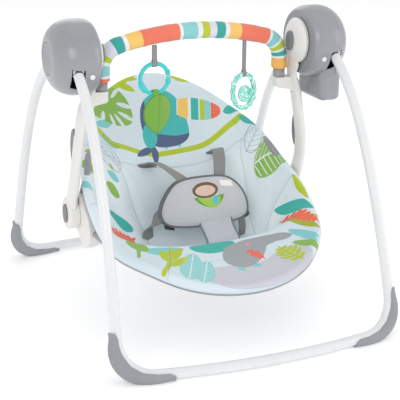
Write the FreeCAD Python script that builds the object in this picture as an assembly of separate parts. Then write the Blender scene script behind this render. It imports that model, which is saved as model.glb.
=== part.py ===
import FreeCAD, Part
import math
import os

# Portable baby swing on a folding tubular frame.
# Millimetres. +Z up, +X to the right as seen from the front, the foot end of the seat faces -Y.
# Shapes are drawn with the origin on the floor straight below the swing axis. Each piece is moved
# by ORIGIN_Y when it is written, so that the stored origin is under the middle of the whole object.
# "left" is -X and "right" is +X, as seen from the front.

os.makedirs("parts", exist_ok=True)

V = FreeCAD.Vector
ORIGIN = V(0, 0, 0)
X_AXIS = V(1, 0, 0)
Y_AXIS = V(0, 1, 0)
Z_AXIS = V(0, 0, 1)

# ---------------------------------------------------------------- driving dimensions
AXIS_Z = 507.4            # height of the swing axis
ORIGIN_Y = -15.25         # from the swing axis to the middle of the overall depth

TUBE_R = 9.5              # frame tube, 19 mm across
TUBE_WALL = 1.2
FLOOR_Z = 12.0            # centre line of the floor tubes
BEND = 66.0               # how far each side of a corner the bend starts
JOINT_AT = 150.0          # |x| where the bent leg tube ends and the floor tube starts

FRONT_TOP = (257.2, -84.8, 470.5)
FRONT_BEND = (259.7, -207.7, 374.7)
FRONT_CORNER = (270.9, -302.0, FLOOR_Z)
FRONT_BOW = 34.3
REAR_TOP = (260.3, 81.8, 477.0)
REAR_BEND = (262.1, 260.6, 419.0)
REAR_CORNER = (275.1, 346.9, FLOOR_Z)
REAR_BOW = 19.9

FOLD_Y = -57.0            # pivot of the front legs inside the hubs
FOLD_Z = 492.0
FOLD_ANGLE = 45.0

HUB_IN = 213.0            # inner face of a hub
HUB_OUT = 294.0           # outer face of a hub
HUB_R = 75.0
HUB_FLAT = 31.0           # radius of the flat outer face
HUB_EASE = 8.0            # how far the rim draws in towards the inner face
HUB_SQUASH = 0.915        # the hub is a little lower than it is deep
HUB_WALL = 3.0
HUB_CZ = AXIS_Z - 2.5

BLOCK_X = (238.0, 284.0)  # battery block under the right hub
BLOCK_Y = (-50.0, 50.0)
BLOCK_BOTTOM = 392.0

DISC_R = 43.5             # round top of a swing arm
DISC_X = (194.0, 211.0)   # crown of its dome, and its back
DISC_RIM_X = 206.5
PIVOT_Y = 58.0            # recline pivot of the seat
PIVOT_Z = 190.0

RING_R = 7.0              # seat rim tube

BAR_R = 6.0               # steel core of the toy bar
COVER_R = 15.5


# ---------------------------------------------------------------- helpers
def vec(p):
    return V(p[0], p[1], p[2])


def cyl(start, axis, radius, length):
    return Part.makeCylinder(radius, length, vec(start), axis)


def xcyl(x0, x1, y, z, radius):
    return Part.makeCylinder(radius, x1 - x0, V(x0, y, z), X_AXIS)


def box(x0, x1, y0, y1, z0, z1):
    return Part.makeBox(x1 - x0, y1 - y0, z1 - z0, V(x0, y0, z0))


def mirror(shape):
    return shape.mirror(ORIGIN, X_AXIS)


def rounded(shape, radius, keep):
    edges = [e for e in shape.Edges if keep(e)]
    return shape.makeFillet(radius, edges)


def save(node, *solids):
    loose = []
    for shape in solids:
        loose.extend(shape.Solids)
    result = loose[0] if len(loose) == 1 else Part.makeCompound(loose)
    result.translate(V(0, ORIGIN_Y, 0))
    result.exportStep("parts/%s.step" % node)


def sweep(edges, radius):
    first = edges[0]
    start = first.valueAt(first.FirstParameter)
    tangent = first.tangentAt(first.FirstParameter)
    profile = Part.Wire([Part.makeCircle(radius, start, tangent)])
    try:
        tube = Part.Wire(edges).makePipeShell([profile], True, False)
    except Part.OCCError:
        tube = Part.Wire(edges).makePipeShell([profile], True, True)
    if tube.Volume < 0:
        tube.reverse()
    return tube


def pipe(edges, radius, wall):
    return sweep(edges, radius).cut(sweep(edges, radius - wall))


def curve(points, tangents=None):
    """Smooth curve through the points, with the given end directions if any."""
    spline = Part.BSplineCurve()
    if tangents:
        spline.interpolate(Points=[vec(p) for p in points],
                           InitialTangent=tangents[0], FinalTangent=tangents[1])
    else:
        spline.interpolate([vec(p) for p in points])
    return spline.toShape()


def bezier(*points):
    arc = Part.BezierCurve()
    arc.setPoles([vec(p) for p in points])
    return arc


def ellipse_wire(centre, along_x, along_y, normal=Z_AXIS, x_dir=X_AXIS):
    centre = vec(centre)
    other = normal.cross(x_dir)
    if along_x >= along_y:
        shape = Part.Ellipse(centre + x_dir * along_x, centre + other * along_y, centre)
    else:
        shape = Part.Ellipse(centre + other * along_y, centre - x_dir * along_x, centre)
    return Part.Wire([shape.toShape()])


def ball_plate(cx, cy, cz, rx, ry, rz):
    matrix = FreeCAD.Matrix()
    matrix.scale(rx, ry, rz)
    body = Part.makeSphere(1.0).transformGeometry(matrix)
    body.translate(V(cx, cy, cz))
    return body


# ---------------------------------------------------------------- folding tube frame
def leg_edges(side, top, bend, corner, bow, start):
    """Centre line of one leg: into the hub, down the leg, round the bend, to the joint."""
    sign = -1.0 if corner[1] < 0 else 1.0
    a = V(side * top[0], top[1], top[2])
    c = V(side * bend[0], bend[1], bend[2])
    b = V(side * corner[0], corner[1], corner[2])
    far = V(-side * corner[0], corner[1], corner[2])
    middle = V(0, corner[1] + sign * 2.0 * bow, corner[2])
    leg = bezier(a, c, b)
    floor = bezier(b, middle, far)
    leg_t = 1.0
    while (leg.value(leg_t) - b).Length < BEND:
        leg_t -= 0.002
    floor_t = 0.0
    while (floor.value(floor_t) - b).Length < BEND:
        floor_t += 0.002
    joint_t = floor_t
    while abs(floor.value(joint_t).x) > JOINT_AT:
        joint_t += 0.001
    bend_a = leg.value(leg_t)
    bend_b = floor.value(floor_t)
    out_a = leg.tangent(leg_t)[0]
    out_b = floor.tangent(floor_t)[0]
    out_a.normalize()
    out_b.normalize()
    reach = BEND * 0.6
    turn = bezier(bend_a, bend_a + out_a * reach, bend_b - out_b * reach, bend_b)
    into = (c - a)
    into.normalize()
    lead = Part.makeLine(a - into * start, a)
    upper = bezier(a, c, b)
    upper.segment(0.0, leg_t)
    stub = bezier(b, middle, far)
    stub.segment(floor_t, joint_t)
    return [lead, upper.toShape(), turn.toShape(), stub.toShape()], (leg_t, floor_t, joint_t)


def floor_edge(corner, bow, joint_t):
    sign = -1.0 if corner[1] < 0 else 1.0
    whole = bezier((-corner[0], corner[1], corner[2]),
                   (0, corner[1] + sign * 2.0 * bow, corner[2]),
                   (corner[0], corner[1], corner[2]))
    whole.segment(joint_t, 1.0 - joint_t)
    return whole.toShape()


def joiner(corner, bow, joint_t, side):
    """Plug that carries a floor tube inside the end of a leg tube."""
    sign = -1.0 if corner[1] < 0 else 1.0
    whole = bezier((side * corner[0], corner[1], corner[2]),
                   (0, corner[1] + sign * 2.0 * bow, corner[2]),
                   (-side * corner[0], corner[1], corner[2]))
    whole.segment(joint_t - 0.045, joint_t + 0.045)
    return sweep([whole.toShape()], TUBE_R - TUBE_WALL - 0.05)


def foot(edges, side, lean):
    """Rubbery shoe over the outside of a bend, open towards the inside of the frame."""
    upper, turn, stub = edges[1], edges[2], edges[3]
    bare = sweep(edges[1:], TUBE_R + 0.05)

    def at(edge, f):
        t = edge.FirstParameter + f * (edge.LastParameter - edge.FirstParameter)
        return edge.valueAt(t), edge.tangentAt(t)

    length = upper.Length
    stations = []
    inside = V(-side, 0, 0)
    spots = [(upper, 1.0 - 7.0 / length, 1.5, 12.2), (turn, 0.1, 3.0, 13.2),
             (turn, 0.3, 6.5, 15.2), (turn, 0.5, 7.5, 15.8),
             (turn, 0.7, 6.0, 15.4), (stub, 0.0, 2.5, 14.4),
             (stub, 14.0 / stub.Length, 1.2, 13.4), (stub, 30.0 / stub.Length, 0.6, 12.6)]
    for edge, f, out, radius in spots:
        point, tangent = at(edge, f)
        away = inside.cross(tangent).cross(tangent)
        corner_in = V(-side, 0, 1)
        away = tangent.cross(corner_in.cross(tangent))
        away.normalize()
        centre = point - away * out
        stations.append(Part.Wire([Part.makeCircle(radius, centre, tangent)]))
    shoe = Part.makeLoft(stations, True, False)
    shoe = shoe.cut(bare)
    # leave the inner side of the tube bare
    top_tan = at(upper, 1.0 - 60.0 / length)[1]
    low_tan = at(stub, 70.0 / stub.Length)[1]
    knee_in = V(-side, 0, 1)
    mids = []
    for edge, f, lift in ((upper, 1.0 - 26.0 / length, -16.0), (upper, 1.0, 1.0),
                          (turn, 0.12, 1.0), (turn, 0.25, 1.0), (turn, 0.5, 1.0), (turn, 0.75, 1.0),
                          (stub, 0.0, 1.0), (stub, 20.0 / stub.Length, 1.0),
                          (stub, 50.0 / stub.Length, -16.0)):
        point, tangent = at(edge, f)
        away = tangent.cross(knee_in.cross(tangent))
        away.normalize()
        mids.append(point + away * lift)
    far = at(turn, 0.5)[0] + V(-side * 130, 0, 130)
    normal = top_tan.cross(low_tan)
    normal.normalize()
    outline = [m - normal * 40 for m in mids]
    # keep every outline point on one plane before extruding
    base = outline[4]
    flat = [p - normal * ((p - base).dot(normal)) for p in outline]
    far_flat = far - normal * ((far - base).dot(normal))
    poly = Part.makePolygon(flat + [far_flat, flat[0]])
    inner = Part.Face(poly).extrude(normal * 80)
    shoe = shoe.cut(inner)
    shoe = shoe.cut(box(-400, 400, -500, 500, -60, 0))
    return max(shoe.Solids, key=lambda s: s.Volume)


def frame_side(name, top, bend, corner, bow, start):
    shapes = {}
    for side, word in ((-1, "left"), (1, "right")):
        edges, where = leg_edges(side, top, bend, corner, bow, start)
        shapes[word] = pipe(edges, TUBE_R, TUBE_WALL)
        shapes[word + "_foot"] = foot(edges, side, 0)
        shapes[word + "_joiner"] = joiner(corner, bow, where[2], side)
    shapes["floor"] = pipe([floor_edge(corner, bow, where[2])], TUBE_R, TUBE_WALL)
    return shapes


front_dir = V(0, FRONT_BEND[1] - FRONT_TOP[1], FRONT_BEND[2] - FRONT_TOP[2])
front_dir.normalize()
front = frame_side("front", FRONT_TOP, FRONT_BEND, FRONT_CORNER, FRONT_BOW, 22.0)
rear = frame_side("rear", REAR_TOP, REAR_BEND, REAR_CORNER, REAR_BOW, 42.0)

# the top of each front leg carries a knuckle that turns on the fold pin
KNUCKLE_X = (247.2, 267.2)


def knuckle():
    end = V(FRONT_TOP[0], FRONT_TOP[1], FRONT_TOP[2])
    along = V(FRONT_BEND[0], FRONT_BEND[1], FRONT_BEND[2]) - end
    along.normalize()
    eye = xcyl(KNUCKLE_X[0], KNUCKLE_X[1], FOLD_Y, FOLD_Z, 11.5)
    start = end - along * 36.0
    stem = Part.makeCylinder(TUBE_R - TUBE_WALL - 0.1, 39.0, start, along)
    collar = Part.makeCylinder(TUBE_R, 13.8, start, along)
    body = eye.fuse([stem, collar])
    body = body.cut(xcyl(KNUCKLE_X[0] - 5, KNUCKLE_X[1] + 5, FOLD_Y, FOLD_Z, 3.55))
    return body.removeSplitter()


knuckle_right = knuckle()
save("front_leg_left", front["left"])
save("front_leg_right", front["right"])
save("front_floor_tube", front["floor"])
save("front_foot_left", front["left_foot"])
save("front_foot_right", front["right_foot"])
save("front_tube_joiners", front["left_joiner"], front["right_joiner"])
save("front_leg_knuckles", mirror(knuckle_right), knuckle_right)
save("rear_floor_tube", rear["floor"])
save("rear_foot_left", rear["left_foot"])
save("rear_foot_right", rear["right_foot"])
save("rear_tube_joiners", rear["left_joiner"], rear["right_joiner"])


# ---------------------------------------------------------------- hubs
def dome(inset):
    """Egg-shaped hub body on the right side, shrunk by inset on every face but the inner one."""
    r = HUB_R - inset
    flat = HUB_FLAT - inset * 0.6
    x_in = HUB_IN - (20.0 if inset else 0.0)
    x_out = HUB_OUT - inset
    x_mid = 250.0
    r_in = r - HUB_EASE
    rim = Part.makeLine(V(x_in, 0, 0), V(x_in, 0, r_in))
    ease = bezier((HUB_IN, 0, r_in), (HUB_IN + 7, 0, r - 1.0), (HUB_IN + 14, 0, r), (HUB_IN + 20, 0, r))
    lead = [Part.makeLine(V(x_in, 0, r_in), V(HUB_IN, 0, r_in))] if x_in < HUB_IN else []
    wall = Part.makeLine(V(HUB_IN + 20, 0, r), V(x_mid, 0, r))
    shoulder = bezier((x_mid, 0, r), (x_mid + 22, 0, r), (x_out, 0, flat + 26), (x_out, 0, flat))
    face = Part.makeLine(V(x_out, 0, flat), V(x_out, 0, 0))
    base = Part.makeLine(V(x_out, 0, 0), V(x_in, 0, 0))
    profile = Part.Face(Part.Wire([rim] + lead + [ease.toShape(), wall, shoulder.toShape(), face, base]))
    body = profile.revolve(ORIGIN, X_AXIS, 360)
    matrix = FreeCAD.Matrix()
    matrix.scale(1.0, 1.0, HUB_SQUASH)
    body = body.transformGeometry(matrix)
    body.translate(V(0, 0, HUB_CZ))
    return body


def fold_slot():
    """Sector swept by the top of a front leg while the frame folds."""
    a0 = math.atan2(front_dir.z, front_dir.y)
    points = [V(245.2, FOLD_Y, FOLD_Z)]
    reach = 95.0
    first = a0 - math.radians(2)
    last = a0 + math.radians(FOLD_ANGLE + 2)
    half = 11.5
    p = []
    n0 = V(0, -math.sin(first), math.cos(first))
    n1 = V(0, -math.sin(last), math.cos(last))
    d0 = V(0, math.cos(first), math.sin(first))
    d1 = V(0, math.cos(last), math.sin(last))
    centre = V(245.2, FOLD_Y, FOLD_Z)
    p.append(centre - n0 * half)
    p.append(centre - n0 * half + d0 * reach)
    p.append(centre + (d0 + d1) * (reach * 0.62))
    p.append(centre + n1 * half + d1 * reach)
    p.append(centre + n1 * half)
    wedge = Part.Face(Part.makePolygon(p + [p[0]])).extrude(V(24.0, 0, 0))
    room = Part.makeCylinder(12.3, 24.0, centre, X_AXIS)
    return wedge.fuse(room)


rear_edges = {}
for side, word in ((-1, "left"), (1, "right")):
    rear_edges[word] = leg_edges(side, REAR_TOP, REAR_BEND, REAR_CORNER, REAR_BOW, 42.0)[0]
rear_clear = sweep(rear_edges["right"][:2], TUBE_R + 0.1)
slot = fold_slot()

PIN_X = (217.0, 275.0)
BOLT_Y, BOLT_Z = 52.0, 486.7


def hub_shell(block):
    outer = dome(0)
    inner = dome(HUB_WALL)
    if block:
        solid = box(BLOCK_X[0], BLOCK_X[1], BLOCK_Y[0], BLOCK_Y[1], BLOCK_BOTTOM, AXIS_Z)
        solid = rounded(solid, 13.0, lambda e: e.BoundBox.ZLength > 50)
        solid = rounded(solid, 11.0, lambda e: e.BoundBox.ZMax < BLOCK_BOTTOM + 0.1)
        hollow = box(BLOCK_X[0] + 3, BLOCK_X[1] - 3, BLOCK_Y[0] + 3, BLOCK_Y[1] - 3,
                     BLOCK_BOTTOM + 3, AXIS_Z)
        hollow = rounded(hollow, 10.0, lambda e: e.BoundBox.ZLength > 50)
        hollow = rounded(hollow, 8.0, lambda e: e.BoundBox.ZMax < BLOCK_BOTTOM + 3.1)
        outer = outer.fuse(solid)
        inner = inner.fuse(hollow)
    shell = outer.cut(inner)
    # boss for the fold pin on the outer side, boss for the bolt of the rear leg
    boss = xcyl(269.4, 292.0, FOLD_Y, FOLD_Z, 8.0).common(dome(0.5))
    shell = shell.fuse(boss)
    shell = shell.cut(xcyl(200, PIN_X[1] + 0.2, FOLD_Y, FOLD_Z, 3.52))
    shell = shell.cut(slot).cut(rear_clear)
    return shell


def hub_plate():
    profile = Part.makeCylinder(HUB_R - HUB_WALL - HUB_EASE - 0.2, 3.0, V(HUB_IN, 0, 0), X_AXIS)
    matrix = FreeCAD.Matrix()
    matrix.scale(1.0, 1.0, HUB_SQUASH)
    plate = profile.transformGeometry(matrix)
    plate.translate(V(0, 0, HUB_CZ))
    pin_boss = xcyl(HUB_IN + 1, 245.0, FOLD_Y, FOLD_Z, 5.5)
    bolt_boss = xcyl(HUB_IN + 1, REAR_TOP[0] - TUBE_R - 1.5, BOLT_Y, BOLT_Z, 7.0)
    bush_boss = xcyl(HUB_IN + 1, HUB_IN + 14.0, 0, AXIS_Z, 17.0)
    plate = plate.fuse([pin_boss, bolt_boss, bush_boss])
    plate = plate.cut(xcyl(PIN_X[0] - 0.2, 260, FOLD_Y, FOLD_Z, 3.52))
    plate = plate.cut(xcyl(200, 280, BOLT_Y, BOLT_Z, 2.55))
    plate = plate.cut(xcyl(HUB_IN - 5, HUB_IN + 30, 0, AXIS_Z, 12.05))
    plate = plate.cut(slot)
    return plate


save("rear_leg_left", rear["left"].cut(mirror(xcyl(240, 290, BOLT_Y, BOLT_Z, 2.55))))
save("rear_leg_right", rear["right"].cut(xcyl(240, 290, BOLT_Y, BOLT_Z, 2.55)))

# release button of the fold lock, low on the inner front of each hub
BUTTON_X, BUTTON_Z, BUTTON_R = 232.0, 481.0, 5.2
fold_button = Part.makeCylinder(BUTTON_R, 22.0, V(BUTTON_X, -71.5, BUTTON_Z), Y_AXIS)
fold_button = rounded(fold_button, 2.0, lambda e: e.BoundBox.YMax < -71.0)
button_probe = Part.makeCylinder(BUTTON_R + 0.3, 48.0, V(BUTTON_X, -95.0, BUTTON_Z), Y_AXIS)
left_shell = hub_shell(False).cut(button_probe)
right_shell = hub_shell(True).cut(button_probe)

# cap with a round seam on the outer face of the left hub
CAP_R = 30.0
cap = Part.makeCylinder(CAP_R, 2.6, V(HUB_OUT - 2.8, 0, HUB_CZ), X_AXIS)
cap = rounded(cap, 0.8, lambda e: e.BoundBox.XMin > HUB_OUT - 0.4)
cap_seat = Part.makeCylinder(CAP_R + 0.4, 6.0, V(HUB_OUT - 2.9, 0, HUB_CZ), X_AXIS)
cap_floor = Part.makeCylinder(CAP_R + 3.0, 3.0, V(HUB_OUT - 6.0, 0, HUB_CZ), X_AXIS)
left_shell = left_shell.fuse(cap_floor.common(dome(0.2))).cut(cap_seat)

# control cover on the upper outer part of the right hub, split off along a seam
COVER_X, COVER_Z = 262.0, 487.0
cover_zone = box(COVER_X, 320, -110, 110, COVER_Z, 620)
cover_keep = box(COVER_X + 0.4, 320, -110, 110, COVER_Z + 0.4, 620)
control_cover = right_shell.common(cover_keep)
right_shell = right_shell.cut(cover_zone)
control_cover = max(control_cover.Solids, key=lambda s: s.Volume)
right_shell = max(right_shell.Solids, key=lambda s: s.Volume)
left_shell = max(left_shell.Solids, key=lambda s: s.Volume)

# one speed button in the flat outer face of the control cover
speed_key = xcyl(HUB_OUT - 7.0, HUB_OUT, 0.0, 514.0, 10.0)
control_cover = control_cover.cut(xcyl(HUB_OUT - 12, HUB_OUT + 10, 0.0, 514.0, 10.3))
speed_key = rounded(speed_key, 1.2, lambda e: e.BoundBox.XMin > HUB_OUT - 0.1)

# battery door on the outer wall of the block
door_seat = box(BLOCK_X[1] - 1.6, BLOCK_X[1] + 2, -34, 34, 404, 428)
door = box(BLOCK_X[1] - 1.5, BLOCK_X[1] + 0.6, -33.7, 33.7, 404.3, 427.7)
door = rounded(door, 5.0, lambda e: e.BoundBox.XLength > 2.0 and e.BoundBox.YLength < 0.1)
door = door.cut(xcyl(BLOCK_X[1] - 0.6, BLOCK_X[1] + 5, 0, 424.0, 2.6))
right_shell = right_shell.cut(door_seat)

save("hub_shell_left", mirror(left_shell))
save("hub_shell_right", right_shell)
save("hub_cap_left", mirror(cap))
save("hub_control_cover", control_cover)
save("hub_plate_left", mirror(hub_plate()))
save("hub_plate_right", hub_plate())
save("battery_door", door)
save("speed_button", speed_key)
save("fold_button_left", mirror(fold_button))
save("fold_button_right", fold_button)


# ---------------------------------------------------------------- inside the hubs
fold_pin = xcyl(PIN_X[0], PIN_X[1], FOLD_Y, FOLD_Z, 3.5)
save("fold_pins", mirror(fold_pin), fold_pin)


def rear_bolt():
    shank = xcyl(211.0, 274.5, BOLT_Y, BOLT_Z, 2.5)
    head = xcyl(210.9, HUB_IN - 0.05, BOLT_Y, BOLT_Z, 4.5)
    bolt = shank.fuse(head).removeSplitter()
    nut = xcyl(270.0, 273.5, BOLT_Y, BOLT_Z, 5.0).cut(xcyl(260, 280, BOLT_Y, BOLT_Z, 2.52))
    return bolt, nut


bolt, nut = rear_bolt()
save("rear_leg_bolts", mirror(bolt), mirror(nut), bolt, nut)

bush = xcyl(HUB_IN - 0.8, HUB_IN + 14.0, 0, AXIS_Z, 12.0)
bush = bush.cut(xcyl(200, 240, 0, AXIS_Z, 8.03))
save("swing_bushes", mirror(bush), bush)

AXLE_R = 8.0
axle_left = xcyl(197.5, 246.0, 0, AXIS_Z, AXLE_R)
axle_left = axle_left.fuse(xcyl(227.6, 231.0, 0, AXIS_Z, 11.5)).removeSplitter()
drive_shaft = xcyl(197.5, 256.0, 0, AXIS_Z, AXLE_R)
save("swing_axle_left", mirror(axle_left))
save("swing_drive_shaft", drive_shaft)

gearbox = box(229.0, 263.0, -31.0, 31.0, 479.0, 541.0)
gearbox = rounded(gearbox, 9.0, lambda e: e.BoundBox.XLength > 30)
gearbox = gearbox.fuse(Part.makeCylinder(12.0, 30.0, V(240.0, -14.0, 450.0), Z_AXIS))
gearbox = gearbox.cut(xcyl(220, 258.5, 0, AXIS_Z, AXLE_R + 0.08)).removeSplitter()
save("motor_gearbox", gearbox)

CELL_X, CELL_R, CELL_L, CELL_Z = 262.5, 7.1, 48.5, 399.0
cells = []
for row in range(4):
    cell = Part.makeCylinder(CELL_R, CELL_L, V(CELL_X, -24.0 + 16.0 * row, CELL_Z), Z_AXIS)
    tip = Part.makeCylinder(2.6, 1.4, V(CELL_X, -24.0 + 16.0 * row, CELL_Z + CELL_L), Z_AXIS)
    cells.append(cell.fuse(tip).removeSplitter())
save("battery_cells", *cells)
contact_low = box(CELL_X - 6, CELL_X + 6, -30, 30, CELL_Z - 1.0, CELL_Z - 0.05)
contact_high = box(CELL_X - 6, CELL_X + 6, -30, 30, CELL_Z + CELL_L + 1.45, CELL_Z + CELL_L + 2.4)
save("battery_contacts", contact_low, contact_high)
board = box(282.6, 284.2, -26.0, 26.0, 497.0, 533.0)
save("control_board", board)


# ---------------------------------------------------------------- swing arms
ARM = [  # z, x, y, half thickness, half depth
    (482.0, 206.3, 3.0, 4.6, 28.0),
    (462.0, 206.3, 9.0, 4.8, 22.5),
    (446.0, 206.6, 13.5, 5.0, 19.5),
    (437.0, 208.2, 16.0, 5.8, 18.0),
    (424.0, 213.5, 18.5, 8.6, 17.0),
    (406.0, 220.0, 21.5, 10.0, 15.5),
    (385.0, 224.5, 22.5, 10.2, 14.5),
    (350.0, 230.0, 21.5, 9.8, 14.5),
    (318.0, 234.5, 21.0, 9.5, 15.0),
    (285.0, 237.5, 24.5, 9.5, 15.5),
    (255.0, 239.0, 32.0, 9.5, 17.0),
    (225.0, 239.3, 45.0, 9.3, 21.0),
    (205.0, 239.3, 53.0, 9.0, 24.0),
]
ARM_WALL = 2.4
BOSS_X = (229.7, 249.0)
BOSS_R = 31.0


def arm_loft(inset):
    rings = []
    for z, x, y, a, b in ARM:
        rings.append(ellipse_wire((x, y, z), a - inset, b - inset))
    return Part.makeLoft(rings, True, False)


def arm_disc(inset):
    """Shallow dome facing inwards, round the swing axis."""
    back = V(DISC_X[1] - inset, 0, 0)
    crown = V(DISC_X[0] + inset, 0, 0)
    r = DISC_R - inset
    corner = V(DISC_X[1] - inset, 0, r - 0.5)
    rim = V(DISC_RIM_X + inset * 0.6, 0, r)
    dome_line = bezier((rim.x, 0, r), (rim.x - 3.5, 0, r - 0.5), (crown.x, 0, 30.0), (crown.x, 0, 0))
    wire = Part.Wire([Part.makeLine(crown, back), Part.makeLine(back, corner),
                      Part.makeLine(corner, rim), dome_line.toShape()])
    disc = Part.Face(wire).revolve(ORIGIN, X_AXIS, 360)
    disc.translate(V(0, 0, AXIS_Z))
    return disc


def arm_body():
    boss = xcyl(BOSS_X[0], BOSS_X[1], PIVOT_Y, PIVOT_Z, BOSS_R)
    boss = rounded(boss, 5.0, lambda e: e.BoundBox.XMin > BOSS_X[1] - 0.1)
    solid = arm_loft(0).fuse([arm_disc(0), boss])
    hollow = arm_disc(2.6).cut(xcyl(150, 300, 0, AXIS_Z, 13.0))
    boss_room = xcyl(BOSS_X[0] + 2.4, BOSS_X[1] - 2.4, PIVOT_Y, PIVOT_Z, BOSS_R - 3)
    return solid.cut(hollow).cut(boss_room.cut(xcyl(150, 300, PIVOT_Y, PIVOT_Z, 10.0)))


# toy bar socket on the inner face of each arm
SOCKET_Z = (407.0, 432.5)
BAR_END = (184.0, 25.0)


def socket_block():
    low = Part.makePolygon([V(222, 12, SOCKET_Z[0] - 7), V(200, 12, SOCKET_Z[0] + 1),
                            V(178, 12, SOCKET_Z[0] + 5), V(174, 12, SOCKET_Z[0] + 9),
                            V(174, 12, SOCKET_Z[1]), V(212, 12, SOCKET_Z[1]),
                            V(222, 12, SOCKET_Z[0] - 7)])
    body = Part.Face(low).extrude(V(0, 26, 0))
    return rounded(body, 5.0, lambda e: e.BoundBox.ZLength > 12 and e.BoundBox.XMax < 175)


bar_bore = Part.makeCylinder(BAR_R + 0.1, 40.0, V(BAR_END[0], BAR_END[1], SOCKET_Z[0] + 9.0), Z_AXIS)

# recline catch, a finger lever let into the back edge of each arm
CATCH_X = (231.0, 239.0)
CATCH_Y, CATCH_Z = 33.0, 322.0
CATCH_TRAVEL = 4.0


def catch_plate(grow):
    wire = ellipse_wire((CATCH_X[0] - grow, CATCH_Y, CATCH_Z), 20.0 + grow, 41.0 + grow,
                        X_AXIS, Y_AXIS)
    plate = Part.Face(wire).extrude(V(CATCH_X[1] - CATCH_X[0] + 2 * grow, 0, 0))
    return plate.cut(box(200, 300, -60, CATCH_Y - 6.0 - grow, 200, 400))


catch = rounded(catch_plate(0.0), 2.0, lambda e: e.BoundBox.YMin < CATCH_Y and e.Length > 60
                and e.BoundBox.YMax > CATCH_Y + 5)
catch_room = catch_plate(0.5)
catch_shift = catch_room.copy()
catch_shift.translate(V(0, -CATCH_TRAVEL, 0))
catch_room = catch_room.fuse(catch_shift)

SPLIT = [(560.0, 207.5), (462.0, 207.5)] + [(row[0], row[1]) for row in ARM[3:]] + [(120.0, 239.3)]


def inner_side(offset):
    outline = [V(x + offset, -120, z) for z, x in SPLIT]
    outline += [V(100, -120, 120), V(100, -120, 560)]
    return Part.Face(Part.makePolygon(outline + [outline[0]])).extrude(V(0, 320, 0))


arm = arm_body().fuse(socket_block())
inner_hollow = arm_loft(ARM_WALL)
arm = arm.cut(inner_hollow.common(box(150, 300, -100, 150, 195, 402)).cut(
    xcyl(150, 300, PIVOT_Y, PIVOT_Z, 10.0)))
arm = arm.cut(bar_bore).cut(catch_room)
arm = arm.cut(xcyl(197.3, 230, 0, AXIS_Z, AXLE_R + 0.03))
arm = arm.cut(xcyl(200, 247.4, PIVOT_Y, PIVOT_Z, 5.05))
arm_inner = arm.common(inner_side(0.0))
arm_outer = arm.cut(inner_side(0.0))
arm_outer = arm_outer.cut(box(HUB_IN - 0.5, 260, -120, 120, 434, 600))
arm_inner = max(arm_inner.Solids, key=lambda s: s.Volume)
arm_outer = max(arm_outer.Solids, key=lambda s: s.Volume)
save("arm_inner_shell_left", mirror(arm_inner))
save("arm_inner_shell_right", arm_inner)
save("arm_outer_shell_left", mirror(arm_outer))
save("arm_outer_shell_right", arm_outer)
save("recline_catch_left", mirror(catch))
save("recline_catch_right", catch)

# oval caps: one on the inner face of each disc, one on the outer face of each boss
disc_cap = Part.Face(ellipse_wire((DISC_X[0] - 5.5, 0, AXIS_Z), 13.0, 19.0, X_AXIS, Y_AXIS))
disc_cap = rounded(disc_cap.extrude(V(5.45, 0, 0)), 3.0, lambda e: e.BoundBox.XMax < DISC_X[0] - 5)
boss_cap = Part.Face(ellipse_wire((BOSS_X[1] + 0.05, PIVOT_Y, PIVOT_Z), 13.0, 18.5, X_AXIS, Y_AXIS))
boss_cap = rounded(boss_cap.extrude(V(2.6, 0, 0)), 1.2, lambda e: e.BoundBox.XMin > BOSS_X[1] + 2)
save("swing_caps", mirror(disc_cap), disc_cap, mirror(boss_cap), boss_cap)


# ---------------------------------------------------------------- seat
RIM = [  # y, half width, z of the outer edge of the seat rim
    (285.0, 0.0, 392.0), (256.0, 99.0, 368.0), (195.0, 153.0, 333.0), (118.0, 193.0, 295.0),
    (60.0, 216.0, 251.0), (-5.0, 226.0, 220.0), (-53.0, 226.0, 194.0), (-121.0, 211.0, 162.0),
    (-185.0, 170.0, 146.0), (-224.0, 127.0, 131.0), (-262.0, 0.0, 116.0),
]
RIM_IN = 9.5              # from the outer edge to the centre of the rim


def rim_centre():
    """Right half of the rim centre line, from the head tip to the foot tip."""
    points = []
    for y, w, z in RIM:
        reach = math.hypot(w, y - 10.0)
        k = (reach - RIM_IN) / reach
        points.append((w * k, 10.0 + (y - 10.0) * k, z))
    return points


right_half = rim_centre()
rim_path = curve(right_half, (X_AXIS, X_AXIS * -1.0))

TUBE_HOLD_X = 217.5
head_points = [(TUBE_HOLD_X, 46.0, 196.0), (TUBE_HOLD_X - 0.5, 52.0, 222.0),
               (right_half[4][0], right_half[4][1] + 1.0, right_half[4][2] + 2.0)]
head_points += right_half[1:4][::-1]
head_points += [right_half[0]]
head_half = head_points
head_path = curve(head_half + [(-x, y, z) for x, y, z in reversed(head_half[:-1])])
foot_half = [(TUBE_HOLD_X, 14.0, 174.0), (TUBE_HOLD_X, -22.0, 172.0), (211.0, -74.0, 167.0)]
foot_half += right_half[7:]
foot_path = curve(foot_half + [(-x, y, z) for x, y, z in reversed(foot_half[:-1])])
head_tube = pipe([head_path], RING_R, 1.2)
foot_tube = pipe([foot_path], RING_R, 1.2)
save("seat_head_tube", head_tube)
save("seat_foot_tube", foot_tube)

BRACKET_X = (206.8, 229.2)


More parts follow.
